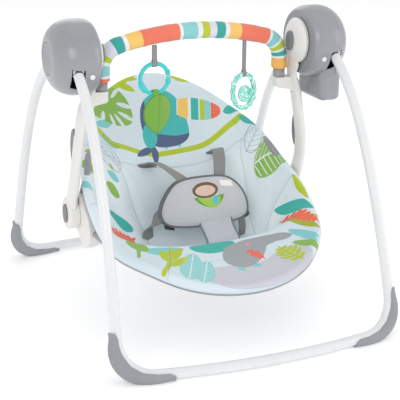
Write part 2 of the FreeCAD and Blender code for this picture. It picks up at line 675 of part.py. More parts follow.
def seat_bracket():
    a, ra = (52.0, 196.0), 34.0
    b, rb = (8.0, 172.0), 37.0
    d = math.hypot(a[0] - b[0], a[1] - b[1])
    heading = math.atan2(a[1] - b[1], a[0] - b[0])
    lean = math.asin((rb - ra) / d)
    parts = [xcyl(BRACKET_X[0], BRACKET_X[1], a[0], a[1], ra),
             xcyl(BRACKET_X[0], BRACKET_X[1], b[0], b[1], rb)]
    ring = []
    for turn in (1, -1):
        angle = heading + turn * (math.pi / 2 - lean)
        ring.append((V(BRACKET_X[0], a[0] + ra * math.cos(angle), a[1] + ra * math.sin(angle)),
                     V(BRACKET_X[0], b[0] + rb * math.cos(angle), b[1] + rb * math.sin(angle))))
    web = Part.makePolygon([ring[0][0], ring[0][1], ring[1][1], ring[1][0], ring[0][0]])
    parts.append(Part.Face(web).extrude(V(BRACKET_X[1] - BRACKET_X[0], 0, 0)))
    body = parts[0].fuse(parts[1:]).removeSplitter()
    return rounded(body, 6.0, lambda e: e.BoundBox.XMax < BRACKET_X[0] + 0.1)


bracket = seat_bracket()
bracket = bracket.cut(sweep([head_path], RING_R + 0.05)).cut(sweep([foot_path], RING_R + 0.05))
bracket = bracket.cut(xcyl(225.0, 260, PIVOT_Y, PIVOT_Z, 5.05))
bracket = max(bracket.Solids, key=lambda s: s.Volume)
save("seat_bracket_left", mirror(bracket))
save("seat_bracket_right", bracket)
pivot_pin = xcyl(225.2, 247.2, PIVOT_Y, PIVOT_Z, 5.0)
save("seat_pivot_pins", mirror(pivot_pin), pivot_pin)

# fabric hammock: open above, deep in the middle, shallow shelf towards the feet
CENTRE = [  # y, z of the inner surface on the centre line, and how square the cross-section is
    (273.0, 384.0, 2.0), (240.0, 345.0, 2.2), (195.0, 309.0, 2.2), (150.0, 280.0, 2.4),
    (110.0, 255.0, 2.6), (78.0, 218.0, 2.8), (48.0, 146.0, 3.0), (12.0, 106.0, 3.2),
    (-30.0, 104.0, 3.4), (-66.0, 120.0, 3.4), (-95.0, 136.0, 3.0), (-140.0, 133.0, 2.6),
    (-190.0, 126.0, 2.4), (-225.0, 121.0, 2.2), (-247.0, 118.0, 2.0),
]
CLOTH = 5.0
RIM_GAP = 20.0            # from the outer edge of the rim to the edge of the hammock


def rim_at(y):
    """Half width and height of the rim edge at a given y."""
    for a, b in zip(RIM, RIM[1:]):
        if a[0] >= y >= b[0]:
            f = (a[0] - y) / (a[0] - b[0])
            if a[1] == 0.0:
                w = b[1] * math.sqrt(max(0.0, 1.0 - (1.0 - f) ** 2))
            elif b[1] == 0.0:
                w = a[1] * math.sqrt(max(0.0, 1.0 - f ** 2))
            else:
                w = a[1] + (b[1] - a[1]) * f
            return w, a[2] + (b[2] - a[2]) * f
    return 0.0, 0.0


def hammock_section(y, zc, power):
    w, zr = rim_at(y)
    w = max(26.0, w - RIM_GAP)
    zr = max(zr, zc + 0.5)
    steps = 8
    upper = []
    lower = []
    for i in range(-steps, steps + 1):
        u = i / float(steps)
        u = math.copysign(abs(u) ** 0.8, u)
        z = zc + (zr - zc) * abs(u) ** power
        upper.append((u * w, y, z))
        slope = (zr - zc) * power * abs(u) ** (power - 1.0) / w
        n = math.hypot(1.0, slope)
        side = math.copysign(1.0, u) if u else 0.0
        lower.append((u * w + side * CLOTH * slope / n * 0.0, y, z - CLOTH * min(n, 2.6)))
    top = curve(upper)
    bottom = curve(lower[::-1])
    end_a = Part.makeLine(vec(upper[-1]), vec(lower[-1]))
    end_b = Part.makeLine(vec(lower[0]), vec(upper[0]))
    return Part.Wire([top, end_a, bottom, end_b])


hammock = Part.makeLoft([hammock_section(*row) for row in CENTRE], True, False)
keep_out = sweep([rim_path], RIM_IN + 0.2)
hammock = hammock.cut(keep_out).cut(mirror(keep_out))
hammock = hammock.cut(sweep([foot_path], RING_R + 0.2)).cut(sweep([head_path], RING_R + 0.2))
hammock = max(hammock.Solids, key=lambda s: s.Volume)

hem = sweep([rim_path], RIM_IN).cut(sweep([head_path], RING_R + 0.2))
hem = hem.cut(sweep([foot_path], RING_R + 0.2)).cut(bracket)
hem = max(hem.Solids, key=lambda s: s.Volume)
hem = mirror(hem).fuse(hem).removeSplitter()
save("seat_hem", hem)
hammock = hammock.cut(hem)
hammock = max(hammock.Solids, key=lambda s: s.Volume)
save("seat_fabric", hammock)


# ---------------------------------------------------------------- harness
def strap(points, width, thick, across=X_AXIS):
    """Flat webbing through the given points, its width running along `across`."""
    rings = []
    count = len(points)
    for i, p in enumerate(points):
        before = vec(points[max(i - 1, 0)])
        after = vec(points[min(i + 1, count - 1)])
        along = after - before
        normal = along.cross(across)
        normal.normalize()
        a = across * (width / 2.0)
        n = normal * (thick / 2.0)
        c = vec(p)
        ring = [c - a - n, c + a - n, c + a + n, c - a + n]
        rings.append(Part.makePolygon(ring + [ring[0]]))
    return Part.makeLoft(rings, True, True)


PAD_Y, PAD_Z, PAD_TILT = -8.0, 204.0, 16.0
PAD_THICK = 16.0


def harness_pad():
    outline = [V(-62, 0, 44), V(62, 0, 44), V(88, 0, 8), V(84, 0, -40), V(0, 0, -46),
               V(-84, 0, -40), V(-88, 0, 8)]
    body = Part.Face(Part.makePolygon(outline + [outline[0]])).extrude(V(0, PAD_THICK, 0))
    body.translate(V(0, -PAD_THICK / 2.0, 0))
    body = rounded(body, 16.0, lambda e: abs(e.BoundBox.YLength - PAD_THICK) < 0.01
                   and abs(e.BoundBox.XMax) > 50)
    body = rounded(body, 6.0, lambda e: e.BoundBox.YLength < 0.01)
    body.rotate(ORIGIN, X_AXIS, -PAD_TILT)
    body.translate(V(0, PAD_Y, PAD_Z))
    return body


pad = harness_pad()
save("harness_pad", pad)
shoulder = [(74.0, 80.0, 228.0), (72.0, 74.0, 252.0), (66.0, 60.0, 268.0), (60.0, 40.0, 269.0),
            (55.0, 21.5, 252.0), (53.0, 17.0, 240.0)]
shoulder_right = strap(shoulder, 24.0, 2.2).cut(pad)
shoulder_right = shoulder_right.cut(hammock)
shoulder_right = max(shoulder_right.Solids, key=lambda s: s.Volume)
save("shoulder_straps", mirror(shoulder_right), shoulder_right)
waist = [(70.0, -4.0, 172.0), (92.0, 6.0, 158.0), (112.0, 16.0, 146.0), (126.0, 24.0, 139.0)]
waist_right = strap(waist, 22.0, 2.2, V(0, -0.45, 0.893)).cut(pad).cut(hammock)
waist_right = max(waist_right.Solids, key=lambda s: s.Volume)
save("waist_straps", mirror(waist_right), waist_right)
crotch = [(0.0, -76.0, 133.5), (0.0, -66.0, 141.0), (0.0, -48.0, 152.0), (0.0, -30.0, 163.0),
          (0.0, -18.0, 173.0), (0.0, -12.0, 186.0)]
crotch_piece = strap(crotch, 66.0, 10.0).cut(pad).cut(hammock)
crotch_piece = max(crotch_piece.Solids, key=lambda s: s.Volume)
save("crotch_strap", crotch_piece)


# ---------------------------------------------------------------- toy bar
BAR_TOP_Z = 534.5         # centre line of the bar in the middle
BAR_TOP_R = 597.0         # radius of its long shallow arc
BAR_CORNER = 45.0         # radius of its corners


def bar_edges(z_start):
    """Centre line of the bar: up from the left socket, over the top, down to the right one."""
    x, y = BAR_END
    big_z = BAR_TOP_Z - BAR_TOP_R
    corner_x = x - BAR_CORNER
    corner_z = big_z + math.sqrt((BAR_TOP_R - BAR_CORNER) ** 2 - corner_x ** 2)
    turn = math.atan2(corner_z - big_z, corner_x)
    half = turn / 2.0
    low = V(x, y, z_start)
    start = V(x, y, corner_z)
    middle = V(corner_x + BAR_CORNER * math.cos(half), y, corner_z + BAR_CORNER * math.sin(half))
    end = V(corner_x + BAR_CORNER * math.cos(turn), y, corner_z + BAR_CORNER * math.sin(turn))
    top = V(0, y, BAR_TOP_Z)

    def left(p):
        return V(-p.x, p.y, p.z)

    return [Part.makeLine(left(low), left(start)),
            Part.Arc(left(start), left(middle), left(end)).toShape(),
            Part.Arc(left(end), top, end).toShape(),
            Part.Arc(end, middle, start).toShape(),
            Part.makeLine(start, low)]


COVER_END_Z = 447.9
BAR_LIFT = 18.5           # travel that frees the bar from its sockets, with a little over
bar_core = sweep(bar_edges(416.5), BAR_R)
fat_cover = sweep(bar_edges(COVER_END_Z), COVER_R + 0.7)
cover = sweep(bar_edges(COVER_END_Z), COVER_R).cut(sweep(bar_edges(440.0), BAR_R + 0.05))


def lift_relief():
    """Room that the sleeve needs beside a swing arm's disc and cap while the bar lifts out."""
    disc = arm_disc(-0.5)
    low = disc.copy()
    low.translate(V(0, 0, -BAR_LIFT))
    band = disc.common(box(150, 300, -60, 60, AXIS_Z - 0.5, AXIS_Z))
    column = None
    for face in band.Faces:
        if abs(face.BoundBox.ZMin - (AXIS_Z - 0.5)) < 1e-4 and face.BoundBox.ZLength < 1e-4:
            column = face.extrude(V(0, 0, -BAR_LIFT))
    cap_room = box(188.0, 200.0, -13.6, 13.6, AXIS_Z - 19.6 - BAR_LIFT, AXIS_Z)
    return disc.fuse([low, column, cap_room])


relief = lift_relief()
cover = cover.cut(relief).cut(mirror(relief))
cover = max(cover.Solids, key=lambda s: s.Volume)
save("toy_bar_core", bar_core)
save("toy_bar_cover", cover)
CLIP_Z = (433.0, 447.6)
clip = Part.makeCylinder(11.5, CLIP_Z[1] - CLIP_Z[0], V(BAR_END[0], BAR_END[1], CLIP_Z[0]), Z_AXIS)
clip = rounded(clip, 1.5, lambda e: e.Length > 60)
clip = clip.cut(Part.makeCylinder(BAR_R + 0.06, 60, V(BAR_END[0], BAR_END[1], 410), Z_AXIS))
CLIP_BUTTON_Z = 440.0
clip = clip.cut(Part.makeCylinder(4.3, 20.6, V(BAR_END[0] + 3.0, BAR_END[1] - 27.0, CLIP_BUTTON_Z), Y_AXIS))
clip_button = Part.makeCylinder(4.0, 5.5, V(BAR_END[0] + 3.0, BAR_END[1] - 13.6, CLIP_BUTTON_Z), Y_AXIS)
clip_button = rounded(clip_button, 1.0, lambda e: e.BoundBox.YMax < BAR_END[1] - 13.5)
save("bar_clips", mirror(clip), clip)
save("bar_release_left", mirror(clip_button))
save("bar_release_right", clip_button)


# ---------------------------------------------------------------- hanging toys
RING_X, TOY_Y = -80.0, 21.8
RING_TOP = 477.0          # centre of the ring's wire at its top
RING_MAJOR, RING_WIRE = 28.5, 4.0
ring_strap = strap([(RING_X, TOY_Y, 518.0), (RING_X, TOY_Y, 500.0), (RING_X, TOY_Y, 482.6)], 10.0, 2.0)
ring_strap = ring_strap.cut(fat_cover)
ring_loop = xcyl(RING_X - 5.0, RING_X + 5.0, TOY_Y, RING_TOP, 6.6)
ring_loop = ring_loop.cut(xcyl(RING_X - 9.0, RING_X + 9.0, TOY_Y, RING_TOP, 4.9))
ring_strap = ring_strap.fuse(ring_loop).cut(xcyl(RING_X - 9, RING_X + 9, TOY_Y, RING_TOP, 4.9))
save("ring_strap", ring_strap.removeSplitter())
ring = Part.makeTorus(RING_MAJOR, RING_WIRE, V(RING_X, TOY_Y, RING_TOP - RING_MAJOR), Y_AXIS)
ring = ring.cut(box(RING_X + 24, RING_X + 40, TOY_Y - 9, TOY_Y + 9, 451.0, 453.6))
save("toy_ring", ring)

LEAF_TOP = RING_TOP - 2 * RING_MAJOR
leaf = ball_plate(RING_X + 4.0, TOY_Y, 382.0, 25.0, 6.5, 32.0)
leaf_loop = xcyl(RING_X - 5.0, RING_X + 5.0, TOY_Y, LEAF_TOP, 7.2)
leaf = leaf.fuse(leaf_loop)
leaf = leaf.cut(xcyl(RING_X - 40.0, RING_X + 40.0, TOY_Y, LEAF_TOP, 5.3))
leaf = max(leaf.Solids, key=lambda s: s.Volume)
save("leaf_toy", leaf)

TEETHER_X, TEETHER_Z = 106.0, 410.0
STRAP_LOOP_Z = 443.5
teether_strap = strap([(TEETHER_X, TOY_Y, 515.0), (TEETHER_X, TOY_Y, 480.0), (TEETHER_X, TOY_Y, 451.0)],
                      8.0, 2.0)
teether_strap = teether_strap.cut(fat_cover)
teether_loop = xcyl(TEETHER_X - 4.0, TEETHER_X + 4.0, TOY_Y, STRAP_LOOP_Z, 8.6)
teether_strap = teether_strap.fuse(teether_loop)
teether_strap = teether_strap.cut(xcyl(TEETHER_X - 9, TEETHER_X + 9, TOY_Y, STRAP_LOOP_Z, 7.0))
save("teether_strap", teether_strap.removeSplitter())


def oval(rx, rz, cx, cz, thick):
    face = Part.Face(ellipse_wire((cx, TOY_Y - thick / 2.0, cz), rx, rz, Y_AXIS, X_AXIS))
    return face.extrude(V(0, thick, 0))


teether = oval(27.0, 38.0, TEETHER_X, TEETHER_Z, 8.0)
teether = rounded(teether, 3.0, lambda e: True)
teether = teether.cut(oval(19.0, 29.5, TEETHER_X, TEETHER_Z, 12.0))
heart = oval(13.5, 17.0, TEETHER_X + 2.5, TEETHER_Z - 6.0, 7.0)
heart = rounded(heart, 2.5, lambda e: True)
bridge = box(TEETHER_X + 12, TEETHER_X + 22, TOY_Y - 3.2, TOY_Y + 3.2, TEETHER_Z - 14, TEETHER_Z + 4)
bumps = []
for step in range(14):
    angle = 2 * math.pi * step / 14.0
    bx = TEETHER_X + 23.6 * math.cos(angle)
    bz = TEETHER_Z + 34.4 * math.sin(angle)
    if bz < TEETHER_Z + 33:
        bumps.append(Part.makeCylinder(4.6, 7.0, V(bx, TOY_Y - 3.5, bz), Y_AXIS))
teether = teether.fuse([heart, bridge] + bumps).removeSplitter()
save("teether", teether)
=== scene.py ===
import math

import bpy
import numpy as np
from mathutils import Matrix, Vector


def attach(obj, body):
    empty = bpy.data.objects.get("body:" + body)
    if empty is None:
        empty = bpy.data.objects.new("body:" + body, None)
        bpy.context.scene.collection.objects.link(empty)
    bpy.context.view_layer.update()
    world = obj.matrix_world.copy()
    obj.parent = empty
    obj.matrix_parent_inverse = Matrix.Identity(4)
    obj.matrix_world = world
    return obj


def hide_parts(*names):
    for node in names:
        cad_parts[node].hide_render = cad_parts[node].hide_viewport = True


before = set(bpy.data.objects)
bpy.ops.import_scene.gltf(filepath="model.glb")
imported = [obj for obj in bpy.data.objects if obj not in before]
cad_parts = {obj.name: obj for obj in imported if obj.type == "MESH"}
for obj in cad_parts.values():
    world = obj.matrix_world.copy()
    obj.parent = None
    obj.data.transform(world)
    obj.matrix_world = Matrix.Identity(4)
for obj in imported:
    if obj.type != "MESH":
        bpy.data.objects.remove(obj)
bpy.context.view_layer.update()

# Baby swing. Shapes are written in millimetres from the point of the floor below the swing axis
# and moved by ORIGIN_Y into the row frame. Left is -X and right is +X, seen from the front.
ORIGIN_Y = -15.25
rng = np.random.default_rng(7)


def place(points):
    """Row-frame metres from design millimetres."""
    pts = np.asarray(points, float).reshape(-1, 3) + np.array([0.0, ORIGIN_Y, 0.0])
    return pts / 1000.0


def make_mesh(name, points, faces, material, body, smooth=True):
    mesh = bpy.data.meshes.new(name)
    mesh.from_pydata(place(points).tolist(), [], faces)
    mesh.update()
    if smooth:
        mesh.shade_smooth()
    obj = bpy.data.objects.new(name, mesh)
    bpy.context.scene.collection.objects.link(obj)
    mesh.materials.append(material)
    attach(obj, body)
    return obj


def attribute(obj, name, values):
    att = obj.data.attributes.new(name, "FLOAT", "POINT")
    att.data.foreach_set("value", np.asarray(values, np.float32).ravel())


def rgb(r, g, b):
    """Linear colour from 0-255 display values."""
    out = []
    for c in (r, g, b):
        c = c / 255.0
        out.append(c / 12.92 if c <= 0.04045 else ((c + 0.055) / 1.055) ** 2.4)
    return (out[0], out[1], out[2], 1.0)


# ------------------------------------------------------------------ materials
class Shade:
    """A Principled material and short ways to add nodes to it."""

    def __init__(self, name, colour=(0.8, 0.8, 0.8, 1.0), rough=0.5, metal=0.0, coat=0.0,
                 sheen=0.0):
        self.mat = bpy.data.materials.new(name)
        self.mat.use_nodes = True
        self.tree = self.mat.node_tree
        self.bsdf = self.tree.nodes["Principled BSDF"]
        self.set("Base Color", colour)
        self.set("Roughness", rough)
        self.set("Metallic", metal)
        self.set("Coat Weight", coat)
        self.set("Coat Roughness", 0.15)
        self.set("Sheen Weight", sheen)
        self.set("Sheen Roughness", 0.5)
        self.normal = None
        coords = self.tree.nodes.new("ShaderNodeTexCoord")
        self.object = coords.outputs["Object"]

    def set(self, name, value):
        self.put(self.bsdf.inputs[name], value)

    def put(self, socket, value):
        if isinstance(value, bpy.types.NodeSocket):
            self.tree.links.new(value, socket)
        elif value is not None:
            socket.default_value = value

    def math(self, op, a, b=None, c=None, clamp=False):
        n = self.tree.nodes.new("ShaderNodeMath")
        n.operation = op
        n.use_clamp = clamp
        for socket, value in zip(n.inputs, (a, b, c)):
            self.put(socket, value)
        return n.outputs[0]

    def mix(self, factor, a, b):
        n = self.tree.nodes.new("ShaderNodeMix")
        n.data_type = "RGBA"
        self.put(n.inputs[0], factor)
        self.put(n.inputs[6], a)
        self.put(n.inputs[7], b)
        return n.outputs[2]

    def noise(self, scale, detail=2.0, vector=None):
        n = self.tree.nodes.new("ShaderNodeTexNoise")
        self.put(n.inputs["Vector"], vector or self.object)
        n.inputs["Scale"].default_value = scale
        n.inputs["Detail"].default_value = detail
        return n.outputs["Fac"]

    def cells(self, scale, out="Distance"):
        n = self.tree.nodes.new("ShaderNodeTexVoronoi")
        self.put(n.inputs["Vector"], self.object)
        n.inputs["Scale"].default_value = scale
        return n.outputs[out]

    def attr(self, name):
        n = self.tree.nodes.new("ShaderNodeAttribute")
        n.attribute_name = name
        return n.outputs["Fac"]

    def span(self, value, low, high, to_low=0.0, to_high=1.0):
        n = self.tree.nodes.new("ShaderNodeMapRange")
        for socket, v in zip(n.inputs, (value, low, high, to_low, to_high)):
            self.put(socket, v)
        return n.outputs[0]

    def below(self, value, edge, soft=0.12):
        """1 where value is under edge, 0 over it."""
        return self.span(value, edge - soft, edge + soft, 1.0, 0.0)

    def bump(self, height, strength, distance):
        n = self.tree.nodes.new("ShaderNodeBump")
        n.inputs["Strength"].default_value = strength
        n.inputs["Distance"].default_value = distance
        self.put(n.inputs["Height"], height)
        if self.normal is not None:
            self.put(n.inputs["Normal"], self.normal)
        self.normal = n.outputs[0]
        self.set("Normal", self.normal)

    def xyz(self):
        n = self.tree.nodes.new("ShaderNodeSeparateXYZ")
        self.put(n.inputs[0], self.object)
        return n.outputs[0], n.outputs[1], n.outputs[2]

    def weave(self, u, v, period):
        """Height of a plain weave from two coordinates in millimetres."""
        a = self.math("SINE", self.math("MULTIPLY", u, math.pi / period))
        b = self.math("SINE", self.math("MULTIPLY", v, math.pi / period))
        over = self.math("GREATER_THAN", self.math("MULTIPLY", a, b), 0.0)
        warp = self.math("ABSOLUTE", a)
        weft = self.math("ABSOLUTE", b)
        under = self.math("SUBTRACT", 1.0, over)
        return self.math("ADD", self.math("MULTIPLY", warp, over),
                         self.math("MULTIPLY", weft, under))

    def tint(self, colour, amount, scale=9.0):
        """Slow, slight change of colour, so that no face is perfectly even."""
        dark = tuple(c * (1.0 - amount) for c in colour[:3]) + (1.0,)
        return self.mix(self.span(self.noise(scale, 3.0), 0.35, 0.65), colour, dark)


def plastic(name, colour, rough=0.35, coat=0.0, grain=900.0, depth=0.05, amount=0.04, scuff=0.12):
    s = Shade(name, colour, rough, 0.0, coat)
    base = s.tint(colour, amount)
    marks = s.span(s.noise(55.0, 6.0), 0.62, 0.74)
    worn = tuple(min(1.0, c * 1.12 + 0.01) for c in colour[:3]) + (1.0,)
    s.set("Base Color", s.mix(s.math("MULTIPLY", marks, scuff), base, worn))
    s.set("Roughness", s.span(s.noise(28.0, 5.0), 0.3, 0.7, rough * 0.85, min(1.0, rough * 1.25)))
    s.bump(s.noise(grain, 3.0), depth, 0.0006)
    s.bump(s.noise(11.0, 1.0), 0.03, 0.002)
    return s


def painted_tube(name, colour):
    """Powder coat: orange peel, uneven gloss and a little dust low down."""
    s = Shade(name, colour, 0.3, 0.0, 0.25)
    x, y, z = s.xyz()
    dust = s.span(z, 0.0, 0.12, 0.10, 0.0)
    grey = rgb(196, 194, 190)
    s.set("Base Color", s.mix(s.math("MULTIPLY", dust, s.noise(60.0, 4.0)), s.tint(colour, 0.03), grey))
    s.set("Roughness", s.span(s.noise(35.0, 4.0), 0.3, 0.7, 0.22, 0.38))
    s.bump(s.noise(420.0, 2.0), 0.10, 0.0005)
    return s


def metal(name, colour, rough=0.3):
    s = Shade(name, colour, rough, 1.0)
    s.set("Roughness", s.span(s.noise(180.0, 6.0), 0.3, 0.7, rough * 0.7, rough * 1.4))
    s.bump(s.noise(1500.0, 2.0), 0.08, 0.0003)
    return s


HUB_GREY = rgb(150, 152, 157)
M = {
    "hub": plastic("hub_gloss_grey", HUB_GREY, 0.26, 0.35, 500.0, 0.05),
    "panel": plastic("panel_grey", rgb(143, 145, 150), 0.34, 0.1, 700.0, 0.08),
    "cap": plastic("cap_grey", rgb(118, 120, 126), 0.4, 0.0, 700.0, 0.1),
    "foot": plastic("foot_rubber_grey", rgb(150, 153, 158), 0.62, 0.0, 1100.0, 0.22, 0.06, 0.2),
    "frame": painted_tube("frame_white", rgb(229, 231, 233)),
    "arm": plastic("arm_white", rgb(230, 228, 225), 0.36, 0.15, 800.0, 0.08, 0.025),
    "button": plastic("button_white", rgb(232, 232, 230), 0.32, 0.2, 800.0, 0.05),
    "clip": plastic("clip_grey", rgb(152, 154, 158), 0.42, 0.0, 900.0, 0.1),
    "buckle": plastic("buckle_black", rgb(44, 45, 48), 0.45, 0.0, 900.0, 0.12),
    "ring": plastic("ring_aqua", rgb(52, 205, 208), 0.22, 0.4, 600.0, 0.04, 0.05),
    "bush": plastic("bush_white", rgb(225, 224, 215), 0.5),
    "inner": plastic("inner_black", rgb(40, 41, 44), 0.5),
    "board": plastic("board_green", rgb(35, 96, 62), 0.45),
    "battery": plastic("battery_wrap", rgb(60, 62, 66), 0.3, 0.3),
    "steel": metal("steel", (0.62, 0.62, 0.64, 1.0), 0.28),
    "seat_tube": painted_tube("seat_tube_grey", rgb(150, 152, 155)),
}


def glitter(name):
    """Clear mint plastic with flakes in it."""
    s = Shade(name, rgb(92, 205, 186), 0.16, 0.0, 0.6)
    flake = s.cells(420.0, "Color")
    spark = s.math("GREATER_THAN", s.math("FRACT", s.math("MULTIPLY", flake, 7.31)), 0.80)
    pale = s.math("GREATER_THAN", s.math("FRACT", s.math("MULTIPLY", flake, 3.77)), 0.72)
    base = s.mix(s.span(s.noise(60.0, 3.0), 0.3, 0.7), rgb(74, 196, 176), rgb(126, 222, 205))
    base = s.mix(s.math("MULTIPLY", pale, 0.55), base, rgb(205, 246, 236))
    s.set("Base Color", s.mix(s.math("MULTIPLY", spark, 0.85), base, rgb(238, 255, 250)))
    s.set("Metallic", s.math("MULTIPLY", spark, 0.6))
    s.set("Subsurface Weight", 0.15)
    s.set("Subsurface Radius", (0.004, 0.006, 0.006))
    s.bump(s.noise(700.0, 2.0), 0.06, 0.0005)
    return s


M["teether"] = glitter("teether_glitter")


def cloth(name, colour, period=1.1, u="cu", v="cv", depth=0.35, rough=0.85, sheen=0.25,
          heather=0.0, fleck=None):
    s = Shade(name, colour, rough, 0.0, 0.0, sheen)
    cu, cv = s.attr(u), s.attr(v)
    base = s.tint(colour, 0.05, 14.0)
    if heather:
        fine = s.span(s.noise(900.0, 4.0), 0.42, 0.60)
        base = s.mix(s.math("MULTIPLY", fine, heather), base, fleck)
    threads = s.weave(cu, cv, period)
    # painted shade: the gaps between the threads are darkened by up to 22% towards black
    dark = s.mix(0.22, base, (0.0, 0.0, 0.0, 1.0))
    s.set("Base Color", s.mix(s.span(threads, 0.0, 0.45, 0.8, 0.0), base, dark))
    s.set("Roughness", s.span(s.noise(90.0, 3.0), 0.3, 0.7, rough - 0.08, rough + 0.08))
    s.bump(s.noise(60.0, 3.0), 0.12, 0.002)
    s.bump(threads, depth, 0.0006)
    s.base = base
    s.threads = threads
    return s


# ------------------------------------------------------------------ finish of the CAD pieces
FINISH = {
    "hub": ["hub_shell_left", "hub_shell_right", "hub_control_cover"],
    "panel": ["hub_cap_left", "battery_door", "hub_plate_left", "hub_plate_right"],
    "cap": ["swing_caps", "recline_catch_left", "recline_catch_right"],
    "foot": ["front_foot_left", "front_foot_right", "rear_foot_left", "rear_foot_right"],
    "frame": ["front_leg_left", "front_leg_right", "front_floor_tube", "rear_leg_left",
              "rear_leg_right", "rear_floor_tube"],
    "arm": ["arm_inner_shell_left", "arm_inner_shell_right", "arm_outer_shell_left",
            "arm_outer_shell_right", "seat_bracket_left", "seat_bracket_right"],
    "button": ["speed_button", "fold_button_left", "fold_button_right"],
    "clip": ["bar_clips", "bar_release_left", "bar_release_right"],
    "bush": ["swing_bushes"],
    "inner": ["motor_gearbox"],
    "board": ["control_board"],
    "battery": ["battery_cells"],
    "steel": ["fold_pins", "rear_leg_bolts", "swing_axle_left", "swing_drive_shaft",
              "battery_contacts", "seat_pivot_pins", "toy_bar_core", "front_tube_joiners",
              "rear_tube_joiners", "front_leg_knuckles"],
    "seat_tube": ["seat_head_tube", "seat_foot_tube"],
    "ring": ["toy_ring"],
    "teether": ["teether"],
}
for finish, names in FINISH.items():
    for name in names:
        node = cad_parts[name]
        node.data.materials.clear()
        node.data.materials.append(M[finish].mat)


# ------------------------------------------------------------------ curves
def spline(points, first=None, last=None, count=200):
    """Smooth curve through the points, evenly sampled, with end directions if given."""
    p = np.asarray(points, float)
    h = np.linalg.norm(np.diff(p, axis=0), axis=1)
    n = len(p)
    a = np.zeros((n, n))
    r = np.zeros((n, 3))
    for i in range(1, n - 1):
        a[i, i - 1] = 1.0 / h[i - 1]
        a[i, i] = 2.0 / h[i - 1] + 2.0 / h[i]
        a[i, i + 1] = 1.0 / h[i]
        r[i] = 3.0 * ((p[i] - p[i - 1]) / h[i - 1] ** 2 + (p[i + 1] - p[i]) / h[i] ** 2)
    for row, k, given in ((0, 1, first), (n - 1, n - 2, last)):
        a[row, row] = 1.0
        if given is None:
            a[row, k] = 0.5
            step = (p[k] - p[row]) * (1.0 if row == 0 else -1.0)
            r[row] = 1.5 * step / h[min(row, k)]
        else:
            r[row] = given
    m = np.linalg.solve(a, r)
    dense = []
    for i in range(n - 1):
        t = np.linspace(0.0, 1.0, 60, endpoint=(i == n - 2))[:, None]
        dense.append((2 * t ** 3 - 3 * t ** 2 + 1) * p[i] + (t ** 3 - 2 * t ** 2 + t) * h[i] * m[i]
                     + (3 * t ** 2 - 2 * t ** 3) * p[i + 1] + (t ** 3 - t ** 2) * h[i] * m[i + 1])
    dense = np.vstack(dense)
    return resample(dense, count)


def resample(line, count):
    s = np.concatenate([[0.0], np.cumsum(np.linalg.norm(np.diff(line, axis=0), axis=1))])
    at = np.linspace(0.0, s[-1], count)
    return np.stack([np.interp(at, s, line[:, k]) for k in range(line.shape[1])], axis=1)


def monotone(xs, ys, x):
    """Smooth interpolation that never overshoots; xs ascending."""
    xs, ys = np.asarray(xs, float), np.asarray(ys, float)
    h, d = np.diff(xs), np.diff(ys) / np.diff(xs)
    m = np.concatenate([[d[0]], np.where(d[1:] * d[:-1] > 0, 2 * d[1:] * d[:-1] / (d[1:] + d[:-1] + 1e-12), 0.0), [d[-1]]])
    x = np.clip(x, xs[0], xs[-1])
    i = np.clip(np.searchsorted(xs, x, side="right") - 1, 0, len(xs) - 2)
    t = (x - xs[i]) / h[i]
    return ((2 * t ** 3 - 3 * t ** 2 + 1) * ys[i] + (t ** 3 - 2 * t ** 2 + t) * h[i] * m[i]
            + (3 * t ** 2 - 2 * t ** 3) * ys[i + 1] + (t ** 3 - t ** 2) * h[i] * m[i + 1])


def tangents(line):
    t = np.gradient(line, axis=0)
    return t / np.linalg.norm(t, axis=1)[:, None]


def tube(name, line, radius, material, body, sides=12, closed=False, up=(0, 0, 1)):
    """Round tube along a line, radius a number or one per point, with cu and cv coordinates."""
    line = np.asarray(line, float)
    n = len(line)
    radius = np.broadcast_to(np.asarray(radius, float), (n,))
    t = tangents(np.vstack([line[-1:], line, line[:1]]))[1:-1] if closed else tangents(line)
    side = np.cross(t, np.array(up, float))
    side /= np.maximum(np.linalg.norm(side, axis=1), 1e-9)[:, None]
    other = np.cross(side, t)
    ang = np.linspace(0, 2 * math.pi, sides, endpoint=False)
    pts = (line[:, None, :] + radius[:, None, None] * (np.cos(ang)[None, :, None] * side[:, None, :]
           + np.sin(ang)[None, :, None] * other[:, None, :]))
    faces = []
    for i in range(n if closed else n - 1):
        k = (i + 1) % n
        for j in range(sides):
            q = (j + 1) % sides
            faces.append((i * sides + j, i * sides + q, k * sides + q, k * sides + j))
    if not closed:
        faces.append(tuple(range(sides)))
        faces.append(tuple((n - 1) * sides + j for j in reversed(range(sides))))
    obj = make_mesh(name, pts.reshape(-1, 3), faces, material, body)
    s = np.concatenate([[0.0], np.cumsum(np.linalg.norm(np.diff(line, axis=0), axis=1))])
    attribute(obj, "cu", np.repeat(s, sides))
    attribute(obj, "cv", (np.broadcast_to(ang, (n, sides)) * radius[:, None]).ravel())
    return obj


